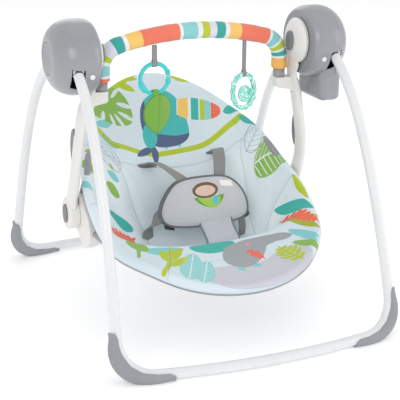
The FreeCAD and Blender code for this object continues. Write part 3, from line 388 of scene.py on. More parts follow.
def ribbon(name, points, width, thick, material, body, across=(1, 0, 0), count=60, sag=0.0):
    """Webbing with rounded edges through the points; across is its width direction, or one per point."""
    line = spline(points, count=count)
    t = tangents(line)
    across = np.asarray(across, float)
    if across.ndim == 2:
        f = np.linspace(0, 1, len(across))
        g = np.linspace(0, 1, count)
        across = np.stack([np.interp(g, f, across[:, k]) for k in range(3)], axis=1)
    else:
        across = np.broadcast_to(across, (count, 3))
    a = across - (across * t).sum(1)[:, None] * t
    a /= np.linalg.norm(a, axis=1)[:, None]
    n = np.cross(a, t)
    n /= np.linalg.norm(n, axis=1)[:, None]
    half, h = width / 2.0, thick / 2.0
    us = np.linspace(-half, half, 13)
    profile = [(u, h * math.sqrt(max(0.0, 1 - (abs(u) / half) ** 6))) for u in us]
    profile += [(u, -v) for u, v in profile[-2:0:-1]]
    k = len(profile)
    pu = np.array([q[0] for q in profile])
    pv = np.array([q[1] for q in profile])
    pts = line[:, None, :] + pu[None, :, None] * a[:, None, :] + pv[None, :, None] * n[:, None, :]
    faces = []
    for i in range(count - 1):
        for j in range(k):
            q = (j + 1) % k
            faces.append((i * k + j, i * k + q, (i + 1) * k + q, (i + 1) * k + j))
    faces.append(tuple(range(k)))
    faces.append(tuple((count - 1) * k + j for j in reversed(range(k))))
    obj = make_mesh(name, pts.reshape(-1, 3), faces, material, body)
    s = np.concatenate([[0.0], np.cumsum(np.linalg.norm(np.diff(line, axis=0), axis=1))])
    attribute(obj, "cu", np.tile(pu, count))
    attribute(obj, "cv", np.repeat(s, k))
    return obj


# ------------------------------------------------------------------ seat surface
RIM = [(285, 0, 392), (256, 99, 368), (195, 153, 333), (118, 193, 295), (60, 216, 251),
       (-5, 226, 220), (-53, 226, 194), (-121, 211, 162), (-185, 170, 146), (-224, 127, 131),
       (-262, 0, 116)]
RIM_IN = 9.5
WRAP_R = 9.7
CENTRE = [(-250, 117, 2.0), (-225, 121, 2.2), (-190, 127, 2.4), (-150, 134, 2.6), (-110, 140.5, 2.6),
          (-84, 143.5, 2.6), (-72, 138, 2.8), (-58, 118, 3.2), (-30, 104, 3.4), (12, 106, 3.2), (48, 146, 3.0),
          (78, 218, 2.8), (110, 255, 2.6), (150, 280, 2.4), (195, 309, 2.2), (240, 345, 2.2),
          (276, 386, 2.0)]
CY = np.array([c[0] for c in CENTRE], float)
CZ = np.array([c[1] for c in CENTRE], float)
CP = np.array([c[2] for c in CENTRE], float)


def rim_line(count):
    pts = []
    for y, w, z in RIM:
        reach = math.hypot(w, y - 10.0)
        k = (reach - RIM_IN) / reach
        pts.append((w * k, 10.0 + (y - 10.0) * k, z))
    return spline(pts, (1, 0, 0), (-1, 0, 0), count)


HALF = 270
half_rim = rim_line(HALF + 1)
rim = np.vstack([half_rim, (half_rim * [-1, 1, 1])[-2:0:-1]])
N = len(rim)
rim_t = tangents(np.vstack([rim[-1:], rim, rim[:1]]))[1:-1]
out = np.stack([-rim_t[:, 1], rim_t[:, 0], np.zeros(N)], axis=1)
out /= np.linalg.norm(out, axis=1)[:, None]
out[(out * (rim - [0, 10, 0])).sum(1) < 0] *= -1
up = np.cross(rim_t, out)
up[up[:, 2] < 0] *= -1
spine = np.stack([np.zeros(N), np.clip(rim[:, 1], -150.0, 170.0)], axis=1)


def folds(x, y):
    """Soft folds, creases and stitched channels of the seat cloth, in millimetres of height."""
    marks = [
        ([(150, 150), (146, 110), (136, 66), (126, 8)], -3.0, 6.0),
        ([(-122, 148), (-121, 94), (-113, 66), (-100, 46), (-88, 22)], -3.0, 6.0),
        ([(222, -2), (197, 4), (178, 2), (158, -10), (138, -34), (122, -62)], 2.6, 4.5),
        ([(-222, -10), (-190, -14), (-168, -24), (-144, -44), (-124, -66)], 2.0, 4.5),
        ([(-205, 66), (-180, 44), (-158, 18)], 1.7, 6.0),
        ([(-188, 92), (-160, 62), (-140, 30)], -1.9, 7.0),
        ([(-176, 118), (-150, 92), (-131, 58)], 1.6, 7.0),
        ([(-208, 30), (-180, 8), (-150, -6)], -1.5, 6.0),
        ([(206, 70), (186, 44), (170, 20)], -1.7, 7.0),
        ([(196, 98), (174, 66), (156, 34)], 1.6, 7.0),
        ([(184, 124), (168, 96), (156, 60)], -1.3, 6.0),
        ([(-60, -52), (-80, -20), (-96, 6)], 1.4, 6.0),
        ([(86, -52), (104, -24), (116, 4)], -1.4, 6.0),
        ([(-54, 60), (-40, 30), (-34, 0)], 1.2, 8.0),
        ([(78, 66), (64, 34), (54, 2)], 1.2, 8.0),
        ([(-150, 112), (-70, 100), (20, 98), (120, 110)], -1.3, 4.0),
        ([(-60, -90), (-50, -130), (-44, -170)], -0.7, 9.0),
        ([(60, -92), (74, -130), (84, -168)], 0.8, 9.0),
        ([(150, -100), (128, -150), (96, -190)], -0.7, 8.0),
        ([(-20, 150), (0, 190), (10, 235)], 0.9, 14.0),
    ]
    height = np.zeros_like(x)
    for line, amount, sigma in marks:
        d = np.abs(distance(x, y, spline([(a, b, 0) for a, b in line], count=24)[:, :2]))
        height += amount * np.exp(-d * d / (2 * sigma * sigma))
    return height


def distance(x, y, line):
    """Signed distance from each point to a polyline."""
    best = np.full(x.shape, 1e9)
    sign = np.ones(x.shape)
    for (ax, ay), (bx, by) in zip(line[:-1], line[1:]):
        dx, dy = bx - ax, by - ay
        length = dx * dx + dy * dy
        t = np.clip(((x - ax) * dx + (y - ay) * dy) / length, 0, 1)
        d = np.hypot(x - ax - t * dx, y - ay - t * dy)
        near = d < best
        best = np.where(near, d, best)
        sign = np.where(near, np.where((x - ax) * dy - (y - ay) * dx > 0, 1.0, -1.0), sign)
    return best * sign


def hollow(rho, edge):
    """Points of the seat between its middle line and the given edge points."""
    plan = spine + rho * (edge[:, :2] - spine)
    zc = monotone(CY, CZ, plan[:, 1])
    p = monotone(CY, CP, plan[:, 1])
    z = zc + (np.maximum(edge[:, 2], zc) - zc) * rho ** p
    return np.column_stack([plan, z])


theta = np.full(N, math.radians(125.0))
for _ in range(4):
    edge = rim + WRAP_R * (np.cos(theta)[:, None] * out + np.sin(theta)[:, None] * up)
    inner = hollow(0.97, edge)
    run = np.hypot(*(edge - inner)[:, :2].T)
    slope = np.arctan2(edge[:, 2] - inner[:, 2], run)
    theta = np.clip(0.5 * theta + 0.5 * (math.pi / 2 + slope), math.radians(95), math.radians(165))
theta = np.convolve(np.concatenate([theta[-6:], theta, theta[:6]]), np.ones(13) / 13, "valid")
edge = rim + WRAP_R * (np.cos(theta)[:, None] * out + np.sin(theta)[:, None] * up)

ACROSS, WRAP = 74, 22
EDGE_ANGLE = math.radians(-52.0)
END_ANGLE = math.radians(-165.0)
rows = [hollow(r, edge) for r in np.linspace(0.0, 1.0, ACROSS + 1)]
plan = [r[:, :2] for r in rows]
turned = [np.full(N, 1.0)] * len(rows)      # how far a row of the wrap is from the lower edge
for k in range(1, WRAP + 1):
    a = theta + (END_ANGLE - theta) * k / WRAP
    rows.append(rim + WRAP_R * (np.cos(a)[:, None] * out + np.sin(a)[:, None] * up))
    plan.append(edge[:, :2] + out[:, :2] * (WRAP_R * (theta - a))[:, None])
    turned.append(a - EDGE_ANGLE)
grid = np.stack(rows)                       # (row, station, 3)
flat = np.stack(plan)
ROWS = len(rows)
du = np.roll(grid, -1, axis=1) - np.roll(grid, 1, axis=1)
dv = np.gradient(grid, axis=0)
normal = np.cross(du, dv)
normal /= np.maximum(np.linalg.norm(normal, axis=2), 1e-9)[:, :, None]
normal[normal[:, :, 2] * (np.arange(ROWS) <= ACROSS)[:, None] < 0] *= -1
for k in range(ACROSS + 1, ROWS):
    away = ((grid[k] - rim) * normal[k]).sum(1) < 0
    normal[k][away] *= -1
X, Y = flat[:, :, 0], flat[:, :, 1]
lift = folds(X, Y)
lift += 0.5 * np.sin(X / 17.0 + 1.3 * np.sin(Y / 31.0)) * np.sin(Y / 23.0 + 0.8 * np.sin(X / 29.0))
fade = np.ones(ROWS)
fade[ACROSS - 6:ACROSS + 8] = np.linspace(1.0, 0.0, 14)
fade[ACROSS + 8:] = 0.0
grid = grid + normal * (lift * fade[:, None])[:, :, None]
normal[0] = [0, 0, 1]
grid[0, :, 2] = monotone(CY, CZ, flat[0, :, 1]) + lift[0]

# one set of points down the middle line: left and right stations share them
pts = []
index = np.zeros((ROWS, N), int)
middle = {}
for i in range(N):
    key = round(float(flat[0, i, 1]), 4)
    if key not in middle:
        middle[key] = len(pts)
        pts.append(grid[0, i])
    index[0, i] = middle[key]
keep_row0 = len(pts)
index[1:] = keep_row0 + np.arange((ROWS - 1) * N).reshape(ROWS - 1, N)
pts = np.vstack([np.array(pts), grid[1:].reshape(-1, 3)])
px = np.zeros(len(pts))
py = np.zeros(len(pts))
px[index] = X
py[index] = Y
below_edge = np.ones(len(pts))
below_edge[index] = np.stack(turned)
faces = []
for j in range(ROWS - 1):
    for i in range(N):
        k = (i + 1) % N
        q = [index[j, k], index[j + 1, k], index[j + 1, i], index[j, i]]
        q = [v for n, v in enumerate(q) if v != q[n - 1]]
        if len(q) >= 3:
            faces.append(tuple(int(v) for v in q))


# ------------------------------------------------------------------ printed shapes
def leaf(a, b, width, blunt=0.7, bend=0.0):
    dx, dy = b[0] - a[0], b[1] - a[1]
    length = math.hypot(dx, dy)
    s = ((px - a[0]) * dx + (py - a[1]) * dy) / length
    q = np.clip(s / length, 0, 1)
    t = (-(px - a[0]) * dy + (py - a[1]) * dx) / length - bend * np.sin(math.pi * q)
    half = width / 2.0 * np.sin(math.pi * q) ** blunt
    return np.maximum(np.abs(t) - half, np.maximum(-s, s - length)), s, t


def lobe(*args, **kw):
    return leaf(*args, **kw)[0]


def stroke(points, width):
    line = spline([(a, b, 0) for a, b in points], count=40)[:, :2]
    return np.abs(distance(px, py, line)) - width / 2.0


def blob(points):
    """Signed distance to a closed smooth outline, negative inside."""
    p = np.array(points, float)
    n = len(p)
    line = []
    for i in range(n):
        a, b, c, d = p[i - 1], p[i], p[(i + 1) % n], p[(i + 2) % n]
        for t in np.linspace(0, 1, 6, endpoint=False):
            line.append(0.5 * (2 * b + (c - a) * t + (2 * a - 5 * b + 4 * c - d) * t * t
                               + (3 * b - a - 3 * c + d) * t ** 3))
    line = np.array(line + [line[0]])
    d = np.abs(distance(px, py, line))
    inside = np.zeros(px.shape, bool)
    for (ax, ay), (bx, by) in zip(line[:-1], line[1:]):
        cross = (ay > py) != (by > py)
        with np.errstate(divide="ignore", invalid="ignore"):
            xs = ax + (py - ay) * (bx - ax) / (by - ay)
        inside ^= cross & (px < xs)
    return np.where(inside, -d, d)


def join(*shapes):
    return np.minimum.reduce(shapes)


def trim(shape, *holes):
    return np.maximum(shape, -np.minimum.reduce(holes))


def fern(a, b, reach, width, count, both=True):
    """Stem with slim leaves along it."""
    a, b = np.array(a, float), np.array(b, float)
    along = (b - a) / np.linalg.norm(b - a)
    side = np.array([-along[1], along[0]])
    parts = [lobe(tuple(a), tuple(b), width * 0.7, blunt=0.3)]
    for k in range(count):
        root = a + (b - a) * (0.12 + 0.8 * k / count)
        size = reach * (1.0 - 0.45 * abs(2.0 * k / max(1, count - 1) - 0.8))
        for sgn in ((1, -1) if both else (1,)):
            tip = root + (along * 0.75 + side * sgn) * size * 0.75
            parts.append(lobe(tuple(root), tuple(tip), width))
    return join(*parts)


veined = []      # leaves with pale veins
drawn = []       # leaves drawn only in thin lines


def veins(shape, group):
    group.append(shape)
    return shape[0]


monstera = trim(
    blob([(-104, 262), (-84, 252), (-70, 240), (-60, 226), (-57, 208), (-66, 191), (-88, 184),
          (-108, 182), (-126, 184), (-146, 188), (-160, 206), (-150, 232), (-128, 254)]),
    lobe((-54, 218), (-88, 222), 8), lobe((-54, 196), (-90, 208), 8), lobe((-80, 178), (-98, 204), 8),
    lobe((-103, 176), (-108, 202), 7), lobe((-132, 178), (-120, 204), 8), lobe((-72, 250), (-96, 230), 7))
striped, stripe_s, _ = leaf((34, 216), (130, 180), 36, blunt=0.42, bend=4.0)


def stripe(low, high):
    return np.maximum(striped, np.maximum(low - stripe_s, stripe_s - high))


pebble = blob([(-8, 236), (22, 240), (42, 232), (54, 214), (57, 186), (50, 160), (30, 147), (2, 142),
               (-26, 144), (-40, 160), (-44, 190), (-33, 221)])
pebble_top = np.maximum(pebble, blob([(-14, 246), (30, 250), (62, 236), (72, 196), (60, 170), (30, 166),
                                      (-2, 172), (-26, 180), (-26, 212)]))
grey_round = join(
    blob([(16, -108), (44, -96), (74, -92), (104, -94), (124, -104), (116, -122), (92, -128), (80, -146),
          (58, -170), (30, -184), (6, -178), (-8, -158), (-2, -130)]),
    lobe((96, -106), (150, -118), 26, blunt=0.5))
LAYERS = [
    ("lilac", rgb(207, 208, 217), [
        blob([(-60, -178), (0, -172), (60, -176), (120, -150), (150, -170), (140, -230), (60, -262),
              (-30, -262), (-70, -230)])]),
    ("aqua", rgb(135, 211, 214), [
        lobe((-152, 166), (-108, 186), 14), lobe((-152, 150), (-112, 134), 16),
        lobe((-156, 84), (-134, 76), 11), lobe((-224, 52), (-204, 26), 15),
        lobe((-152, -106), (-66, -94), 32, bend=-4.0), lobe((150, -100), (186, -166), 22),
        lobe((158, -120), (176, -178), 14),
        veins(leaf((-108, -220), (-55, -114), 42, blunt=0.55), veined),
        veins(leaf((-86, -234), (-40, -146), 35, blunt=0.55), veined),
        lobe((26, 150), (18, 138), 7), lobe((-6, 148), (-10, 136), 7),
        lobe((4, -182), (18, -192), 12, blunt=0.4), lobe((34, -182), (52, -188), 12, blunt=0.4)]),
    ("lime", rgb(186, 205, 48), [
        stroke([(-172, 168), (-150, 158), (-125, 142), (-98, 138), (-68, 132), (-38, 127), (-4, 128),
                (30, 131), (64, 132), (87, 136), (113, 143), (137, 148), (168, 150)], 12.0),
        lobe((-118, 240), (-22, 276), 15), lobe((-84, 262), (-38, 242), 13), lobe((-70, 270), (-26, 262), 12),
        lobe((46, 268), (92, 254), 20, blunt=0.5), lobe((212, 6), (216, -58), 14),
        stroke([(-150, -204), (-130, -172), (-112, -140), (-98, -112)], 9.0),
        lobe((-118, -146), (-112, -98), 20), lobe((-112, -140), (-70, -92), 18),
        lobe((-124, -166), (-68, -124), 18), lobe((-110, -128), (-88, -90), 14),
        fern((124, -218), (108, -138), 38, 9, 5), lobe((160, -160), (168, -182), 9),
        lobe((184, -88), (222, -104), 8), lobe((-150, 96), (-140, 88), 6)]),
    ("green", rgb(143, 188, 86), [
        monstera, lobe((-214, 88), (-178, 68), 18), lobe((-162, 70), (-138, 62), 11),
        veins(leaf((158, 72), (218, 44), 46, blunt=0.45, bend=10.0), veined),
        lobe((138, -142), (176, -200), 22), lobe((-178, -82), (-138, -100), 36, blunt=0.5),
        stroke([(-160, -96), (-165, -118), (-174, -140)], 7.0), lobe((176, 148), (196, 118), 8)]),
    ("olive", rgb(170, 184, 58), [
        lobe((156, -48), (203, -136), 19, blunt=0.5), lobe((-196, 104), (-168, 96), 8)]),
    ("teal", rgb(66, 184, 172), [
        lobe((134, 176), (174, 168), 19, blunt=0.55), lobe((158, 152), (186, 120), 16),
        lobe((169, -6), (216, -82), 20, blunt=0.55), lobe((-172, 32), (-120, 34), 18, blunt=0.5),
        blob([(-54, -90), (-47, -107), (-24, -121), (8, -121), (30, -114), (38, -98), (34, -84), (-6, -82),
              (-38, -84)])]),
    ("grey", rgb(166, 170, 174), [grey_round, stroke([(0, -150), (-20, -148), (-34, -150)], 1.8)]),
    ("navy", rgb(84, 102, 138), [
        pebble, lobe((-32, 146), (-78, 122), 15), lobe((-32, 144), (-44, 106), 14)]),
    ("teal_top", rgb(72, 192, 188), [
        pebble_top, lobe((-22, 196), (-44, 142), 30, blunt=0.5), stripe(44, 56)]),
    ("white", rgb(238, 244, 246), [stripe(10, 44)]),
    ("lime_top", rgb(188, 207, 50), [stripe(59, 69)]),
    ("aqua_top", rgb(140, 214, 214), [stripe(69, 82)]),
    ("yellow", rgb(250, 206, 108), [stripe(12, 34)]),
    ("teal_band", rgb(66, 184, 172), [stripe(40, 54)]),
    ("coral", rgb(243, 113, 88), [
        stripe(82, 112), fern((-190, -40), (-120, 22), 26, 10, 6), fern((162, -36), (213, -122), 22, 9, 7),
        fern((50, -126), (68, -172), 16, 8, 4)]),
    # painted shade: grey slits standing in for the dark openings the shoulder straps pass through
    ("strap_slot_shade", rgb(120, 122, 124), [
        blob([(-80, 107), (-46, 108), (-46, 102), (-80, 101)]),
        blob([(72, 117), (104, 115), (104, 109), (72, 111)])]),
]
vein_zone = np.minimum.reduce([v[0] for v in veined])
draw_leaves = [leaf((150, 92), (192, 116), 34, blunt=0.5), leaf((-160, 128), (-124, 92), 40, blunt=0.45),
               leaf((-142, 150), (-112, 134), 16)]
drawn_zone = np.minimum.reduce([d[0] for d in draw_leaves])
leaf_s = np.zeros(len(px))
leaf_t = np.zeros(len(px))
for shape, s_, t_ in veined + draw_leaves:
    near = shape < 5.0
    leaf_s = np.where(near, s_, leaf_s)
    leaf_t = np.where(near, t_, leaf_t)


# seams: stitched lines of the cover
SEAMS = [
    [(-196, 116), (-150, 110), (-60, 102), (20, 99), (100, 106), (150, 114), (196, 118)],
    [(222, -2), (197, 4), (178, 2), (158, -10), (138, -34), (122, -62), (112, -84)],
    [(-222, -10), (-190, -14), (-168, -24), (-144, -44), (-124, -66), (-112, -84)],
    [(-92, -86), (-114, -144), (-145, -212)],
    [(150, 114), (146, 110), (136, 66), (126, 8), (118, -40)],
    [(-130, 112), (-121, 94), (-113, 66), (-100, 46), (-88, 10)],
]
seam_d = np.full(len(px), 99.0)
seam_s = np.zeros(len(px))
for line in SEAMS:
    path = spline([(a, b, 0) for a, b in line], count=60)[:, :2]
    d = distance(px, py, path)
    steps = np.concatenate([[0.0], np.cumsum(np.hypot(*np.diff(path, axis=0).T))])
    nearest = np.abs(((px[:, None] - path[None, ::3, 0]) ** 2
                      + (py[:, None] - path[None, ::3, 1]) ** 2)).argmin(1)
    base = path[::3][nearest]
    ahead = tangents(np.column_stack([path, np.zeros(len(path))]))[::3][nearest]
    along = steps[::3][nearest] + (px - base[:, 0]) * ahead[:, 0] + (py - base[:, 1]) * ahead[:, 1]
    near = np.abs(d) < np.abs(seam_d)
    seam_d = np.where(near, d, seam_d)
    seam_s = np.where(near, along, seam_s)

# weave coordinates: across, and along the middle line
arc_y = np.linspace(-262, 290, 400)
arc_z = monotone(CY, CZ, arc_y)
arc = np.concatenate([[0.0], np.cumsum(np.hypot(np.diff(arc_y), np.diff(arc_z)))])
cv = np.interp(py, arc_y, arc)
cu = px + np.sign(px) * np.maximum(0.0, pts[:, 2] - monotone(CY, CZ, py))


def seat_material():
    ground = rgb(222, 236, 243)
    s = Shade("seat_print", ground, 0.85, 0.0, 0.0, 0.12)
    pale = s.attr("plain")
    base = s.mix(pale, ground, rgb(232, 243, 248))
    base = s.mix(s.span(s.noise(10.0, 3.0), 0.35, 0.65, 0.0, 0.5), base, rgb(214, 229, 238))
    for name, colour, _ in LAYERS:
        base = s.mix(s.below(s.attr("L_" + name), 0.0, 0.25), base, colour)
    ls, lt = s.attr("leaf_s"), s.attr("leaf_t")
    side = s.math("ABSOLUTE", lt)
    ribs = s.math("SUBTRACT", ls, s.math("MULTIPLY", side, 0.9))
    wave = s.math("PINGPONG", ribs, 4.6)
    line = s.math("MINIMUM", s.math("SUBTRACT", wave, 0.8), s.math("SUBTRACT", side, 0.9))
    zone = s.attr("vein_zone")
    inside = s.below(zone, -1.6, 0.3)
    base = s.mix(s.math("MULTIPLY", inside, s.below(line, 0.0, 0.25)), base, rgb(232, 246, 246))
    drawn_in = s.attr("drawn_zone")
    thin = s.math("MINIMUM", s.math("SUBTRACT", s.math("PINGPONG", ribs, 4.0), 0.3),
                  s.math("SUBTRACT", side, 0.4))
    rim_line_ = s.math("SUBTRACT", s.math("ABSOLUTE", drawn_in), 0.5)
    lines = s.math("MULTIPLY", s.below(drawn_in, 0.2), s.below(thin, 0.0, 0.15))
    lines = s.math("MAXIMUM", lines, s.below(rim_line_, 0.0, 0.15))
    base = s.mix(s.math("MULTIPLY", lines, 0.8), base, rgb(72, 92, 120))
    dot = s.below(s.attr("pink"), 0.0, 0.3)
    base = s.mix(dot, base, rgb(238, 150, 178))
    # seams: painted shade darkens the groove of each seam, with a row of stitches beside each
    sd = s.math("ABSOLUTE", s.attr("seam_d"))
    # painted shade: the groove along each seam line is darkened towards blue-grey
    groove_shade = s.below(sd, 0.7, 0.5)
    base = s.mix(s.math("MULTIPLY", groove_shade, 0.35), base, rgb(120, 138, 150))
    row = s.below(s.math("ABSOLUTE", s.math("SUBTRACT", sd, 3.2)), 0.35, 0.12)
    dash = s.math("LESS_THAN", s.math("FRACT", s.math("DIVIDE", s.attr("seam_s"), 3.4)), 0.62)
    stitch = s.math("MULTIPLY", row, dash)
    base = s.mix(s.math("MULTIPLY", stitch, 0.55), base, rgb(236, 241, 244))
    base = s.mix(s.below(s.attr("below_edge"), 0.0, 0.05), base, rgb(158, 161, 166))
    threads = s.weave(s.attr("cu"), s.attr("cv"), 0.95)
    # painted shade: the gaps between the threads are darkened by up to 16% towards black
    thread_gap_shade = s.mix(0.16, base, (0.0, 0.0, 0.0, 1.0))
    s.set("Base Color", s.mix(s.span(threads, 0.0, 0.5, 0.7, 0.0), base, thread_gap_shade))
    s.set("Roughness", s.span(s.noise(70.0, 3.0), 0.3, 0.7, 0.74, 0.9))
    s.bump(s.noise(38.0, 4.0), 0.25, 0.004)
    s.bump(s.span(sd, 0.0, 2.2), 0.5, 0.0012)
    s.bump(stitch, 0.6, 0.0005)
    s.bump(threads, 0.3, 0.0005)
    return s.mat


lining = cloth("seat_lining", rgb(196, 200, 206), 1.4)
seat = make_mesh("seat_cover", pts, faces, seat_material(), "seat")
seat.data.materials.append(lining.mat)
for name, colour, shapes in LAYERS:
    attribute(seat, "L_" + name, np.clip(join(*shapes), -20, 20))
attribute(seat, "vein_zone", np.clip(vein_zone, -20, 20))
attribute(seat, "drawn_zone", np.clip(drawn_zone, -20, 20))
attribute(seat, "leaf_s", leaf_s)
attribute(seat, "leaf_t", leaf_t)
attribute(seat, "pink", np.hypot(px - 60, py + 110) - 5.0)
attribute(seat, "seam_d", np.clip(seam_d, -20, 20))
attribute(seat, "seam_s", seam_s)
attribute(seat, "below_edge", below_edge)
attribute(seat, "cu", cu)
attribute(seat, "cv", cv)
plain = np.clip((112 - py) / 20, 0, 1) * np.clip((py + 80) / 12, 0, 1)
attribute(seat, "plain", plain)
shell = seat.modifiers.new("thickness", "SOLIDIFY")
shell.thickness = 0.0026
shell.offset = -1.0
shell.material_offset = 1
shell.material_offset_rim = 1
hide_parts("seat_fabric", "seat_hem")

# binding along the underside of the rim
low = rim + (WRAP_R - 0.6) * (math.cos(EDGE_ANGLE) * out + math.sin(EDGE_ANGLE) * up)
bind = cloth("binding_grey", rgb(158, 161, 166), 0.9)
binding = tube("seat_binding", low, 2.9, bind.mat, "seat", sides=12, closed=True)
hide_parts("seat_hem")


# ------------------------------------------------------------------ harness
TILT = math.radians(16.0)
PAD_O = np.array([17.0, -8.0, 203.0])
PAD_A = np.array([1.0, 0.0, 0.0])
PAD_B = np.array([0.0, math.sin(TILT), math.cos(TILT)])
PAD_N = np.array([0.0, -math.cos(TILT), math.sin(TILT)])


def on_pad(a, b, n):
    a, b, n = np.broadcast_arrays(np.asarray(a, float), b, n)
    drop = -0.0013 * a * a - 0.0006 * b * b
    return (PAD_O + a[..., None] * PAD_A + b[..., None] * PAD_B + (n + drop)[..., None] * PAD_N)


def closed_curve(points, count):
    p = np.array(points, float)
    n = len(p)
    line = []
    for i in range(n):
        a, b, c, d = p[i - 1], p[i], p[(i + 1) % n], p[(i + 2) % n]
        for t in np.linspace(0, 1, 20, endpoint=False):
            line.append(0.5 * (2 * b + (c - a) * t + (2 * a - 5 * b + 4 * c - d) * t * t
                               + (3 * b - a - 3 * c + d) * t ** 3))
    line = np.array(line + [line[0]])
    return resample(line, count + 1)[:-1]


PAD_OUTLINE = [(-52, 43), (0, 48), (48, 43), (76, 22), (90, -6), (88, -32), (62, -43), (0, -47),
               (-58, -44), (-86, -34), (-92, -10), (-78, 20)]


def pillow(name, outline, place_at, top, wall, material, body, rings=40, count=180, power=2.6,
           side_material=None):
    """Crowned panel over an outline, with a wall behind it and a flat back."""
    line = closed_curve(outline, count)
    mid = line.mean(0)
    rows_, ab = [], []
    for k in range(1, rings + 1):
        f = k / rings
        q = mid + (line - mid) * f
        rows_.append(place_at(q[:, 0], q[:, 1], top * (1 - f ** power) ** 0.5))
        ab.append(q)
    front = len(rows_)
    for depth in (-wall * 0.33, -wall * 0.66, -wall):
        bulge = 1.0 + 0.012 * math.sin(math.pi * -depth / wall)
        q = mid + (line - mid) * bulge
        rows_.append(place_at(q[:, 0], q[:, 1], depth))
        ab.append(q)
    for f in (0.8, 0.5, 0.2):
        q = mid + (line - mid) * f
        rows_.append(place_at(q[:, 0], q[:, 1], -wall - 2.0 * (1 - f)))
        ab.append(q)
    p = np.vstack([place_at(mid[0:1], mid[1:2], np.array([top]))] + rows_
                  + [place_at(mid[0:1], mid[1:2], np.array([-wall - 2.2]))])
    flat_ab = np.vstack([mid[None]] + ab + [mid[None]])
    f_, mats = [], []
    for i in range(count):
        f_.append((0, 1 + i, 1 + (i + 1) % count))
        mats.append(0)
    for r in range(len(rows_) - 1):
        for i in range(count):
            k = (i + 1) % count
            f_.append((1 + r * count + i, 1 + (r + 1) * count + i, 1 + (r + 1) * count + k, 1 + r * count + k))
            mats.append(0 if r < front - 1 else 1)
    last = 1 + (len(rows_) - 1) * count
    for i in range(count):
        f_.append((last + (i + 1) % count, last + i, len(p) - 1))
        mats.append(1)
    obj = make_mesh(name, p, f_, material, body)
    if side_material is not None:
        obj.data.materials.append(side_material)
        obj.data.polygons.foreach_set("material_index", mats)
    attribute(obj, "cu", flat_ab[:, 0])
    attribute(obj, "cv", flat_ab[:, 1])
    return obj, flat_ab, line


pad_side = cloth("pad_side_grey", rgb(128, 131, 136), 0.9)


def pad_material():
    light = rgb(206, 208, 212)
    s = cloth("pad_heather", light, 0.9, heather=0.45, fleck=rgb(176, 179, 185))
    base = s.base
    for name, colour in (("leaf_dark", rgb(110, 168, 62)), ("leaf_light", rgb(166, 205, 84)),
                         ("patch", rgb(120, 88, 70)), ("patch_in", rgb(226, 196, 176)),
                         ("drop", rgb(92, 200, 214)), ("tag", rgb(246, 244, 240))):
        base = s.mix(s.below(s.attr(name), 0.0, 0.2), base, colour)
    edge_line = s.below(s.math("ABSOLUTE", s.math("ADD", s.attr("patch"), 1.2)), 0.35, 0.15)
    base = s.mix(s.math("MULTIPLY", edge_line, 0.5), base, rgb(70, 52, 42))
    tag_edge = s.below(s.math("ABSOLUTE", s.math("ADD", s.attr("tag"), 0.8)), 0.25, 0.12)
    base = s.mix(s.math("MULTIPLY", tag_edge, 0.4), base, rgb(150, 150, 150))
    row = s.below(s.math("ABSOLUTE", s.math("SUBTRACT", s.attr("rim_d"), 6.0)), 0.35, 0.12)
    dash = s.math("LESS_THAN", s.math("FRACT", s.math("DIVIDE", s.attr("rim_s"), 3.2)), 0.62)
    base = s.mix(s.math("MULTIPLY", s.math("MULTIPLY", row, dash), 0.5), base, rgb(150, 153, 158))
    # painted shade: the gaps between the threads are darkened by up to 20% towards black
    dark = s.mix(0.2, base, (0.0, 0.0, 0.0, 1.0))
    s.set("Base Color", s.mix(s.span(s.threads, 0.0, 0.45, 0.7, 0.0), base, dark))
    step = s.math("MINIMUM", s.attr("patch"), s.math("MINIMUM", s.attr("leaf_light"), s.attr("tag")))
    s.bump(s.below(step, 0.0, 0.6), 0.6, 0.0008)
    return s.mat


pad, ab, outline = pillow("harness_cushion", PAD_OUTLINE, on_pad, 9.0, 10.0, pad_material(), "seat",
                          side_material=pad_side.mat)
px, py = ab[:, 0], ab[:, 1]
attribute(pad, "patch", np.hypot((px + 3.0) / 27.0, (py - 22) / 15.5) * 20 - 20)
attribute(pad, "patch_in", np.hypot((px + 3.0) / 21.0, (py - 21) / 10.5) * 16 - 16)
attribute(pad, "leaf_dark", join(lobe((-28, 8), (18, -12), 15), lobe((36, 10), (4, -12), 15)))
attribute(pad, "leaf_light", join(lobe((-20, 8), (20, -14), 13), lobe((28, 6), (4, -14), 13),
                                  lobe((4, 10), (12, -14), 14)))
attribute(pad, "drop", lobe((17, 10), (15, -8), 12, blunt=0.5))
attribute(pad, "tag", np.maximum(np.abs((px - 45) + 0.25 * (py - 31)) - 14.0,
                                 np.abs((py - 31) - 0.12 * (px - 45) * -1) - 6.0))
rim_d = np.abs(distance(px, py, np.vstack([outline, outline[:1]])))
attribute(pad, "rim_d", rim_d)
attribute(pad, "rim_s", np.arctan2(py, px) * 62.0)
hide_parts("harness_pad")
piping_mat = cloth("piping_dark_grey", rgb(104, 107, 113), 0.8)
ring_front = on_pad(outline[:, 0] * 1.004, outline[:, 1] * 1.004, 0.6)
ring_back = on_pad(outline[:, 0] * 1.004, outline[:, 1] * 1.004, -10.2)
pipe_front = tube("harness_piping_front", ring_front, 2.3, piping_mat.mat, "seat", 10, True, PAD_N)
pipe_back = tube("harness_piping_back", ring_back, 2.1, piping_mat.mat, "seat", 10, True, PAD_N)


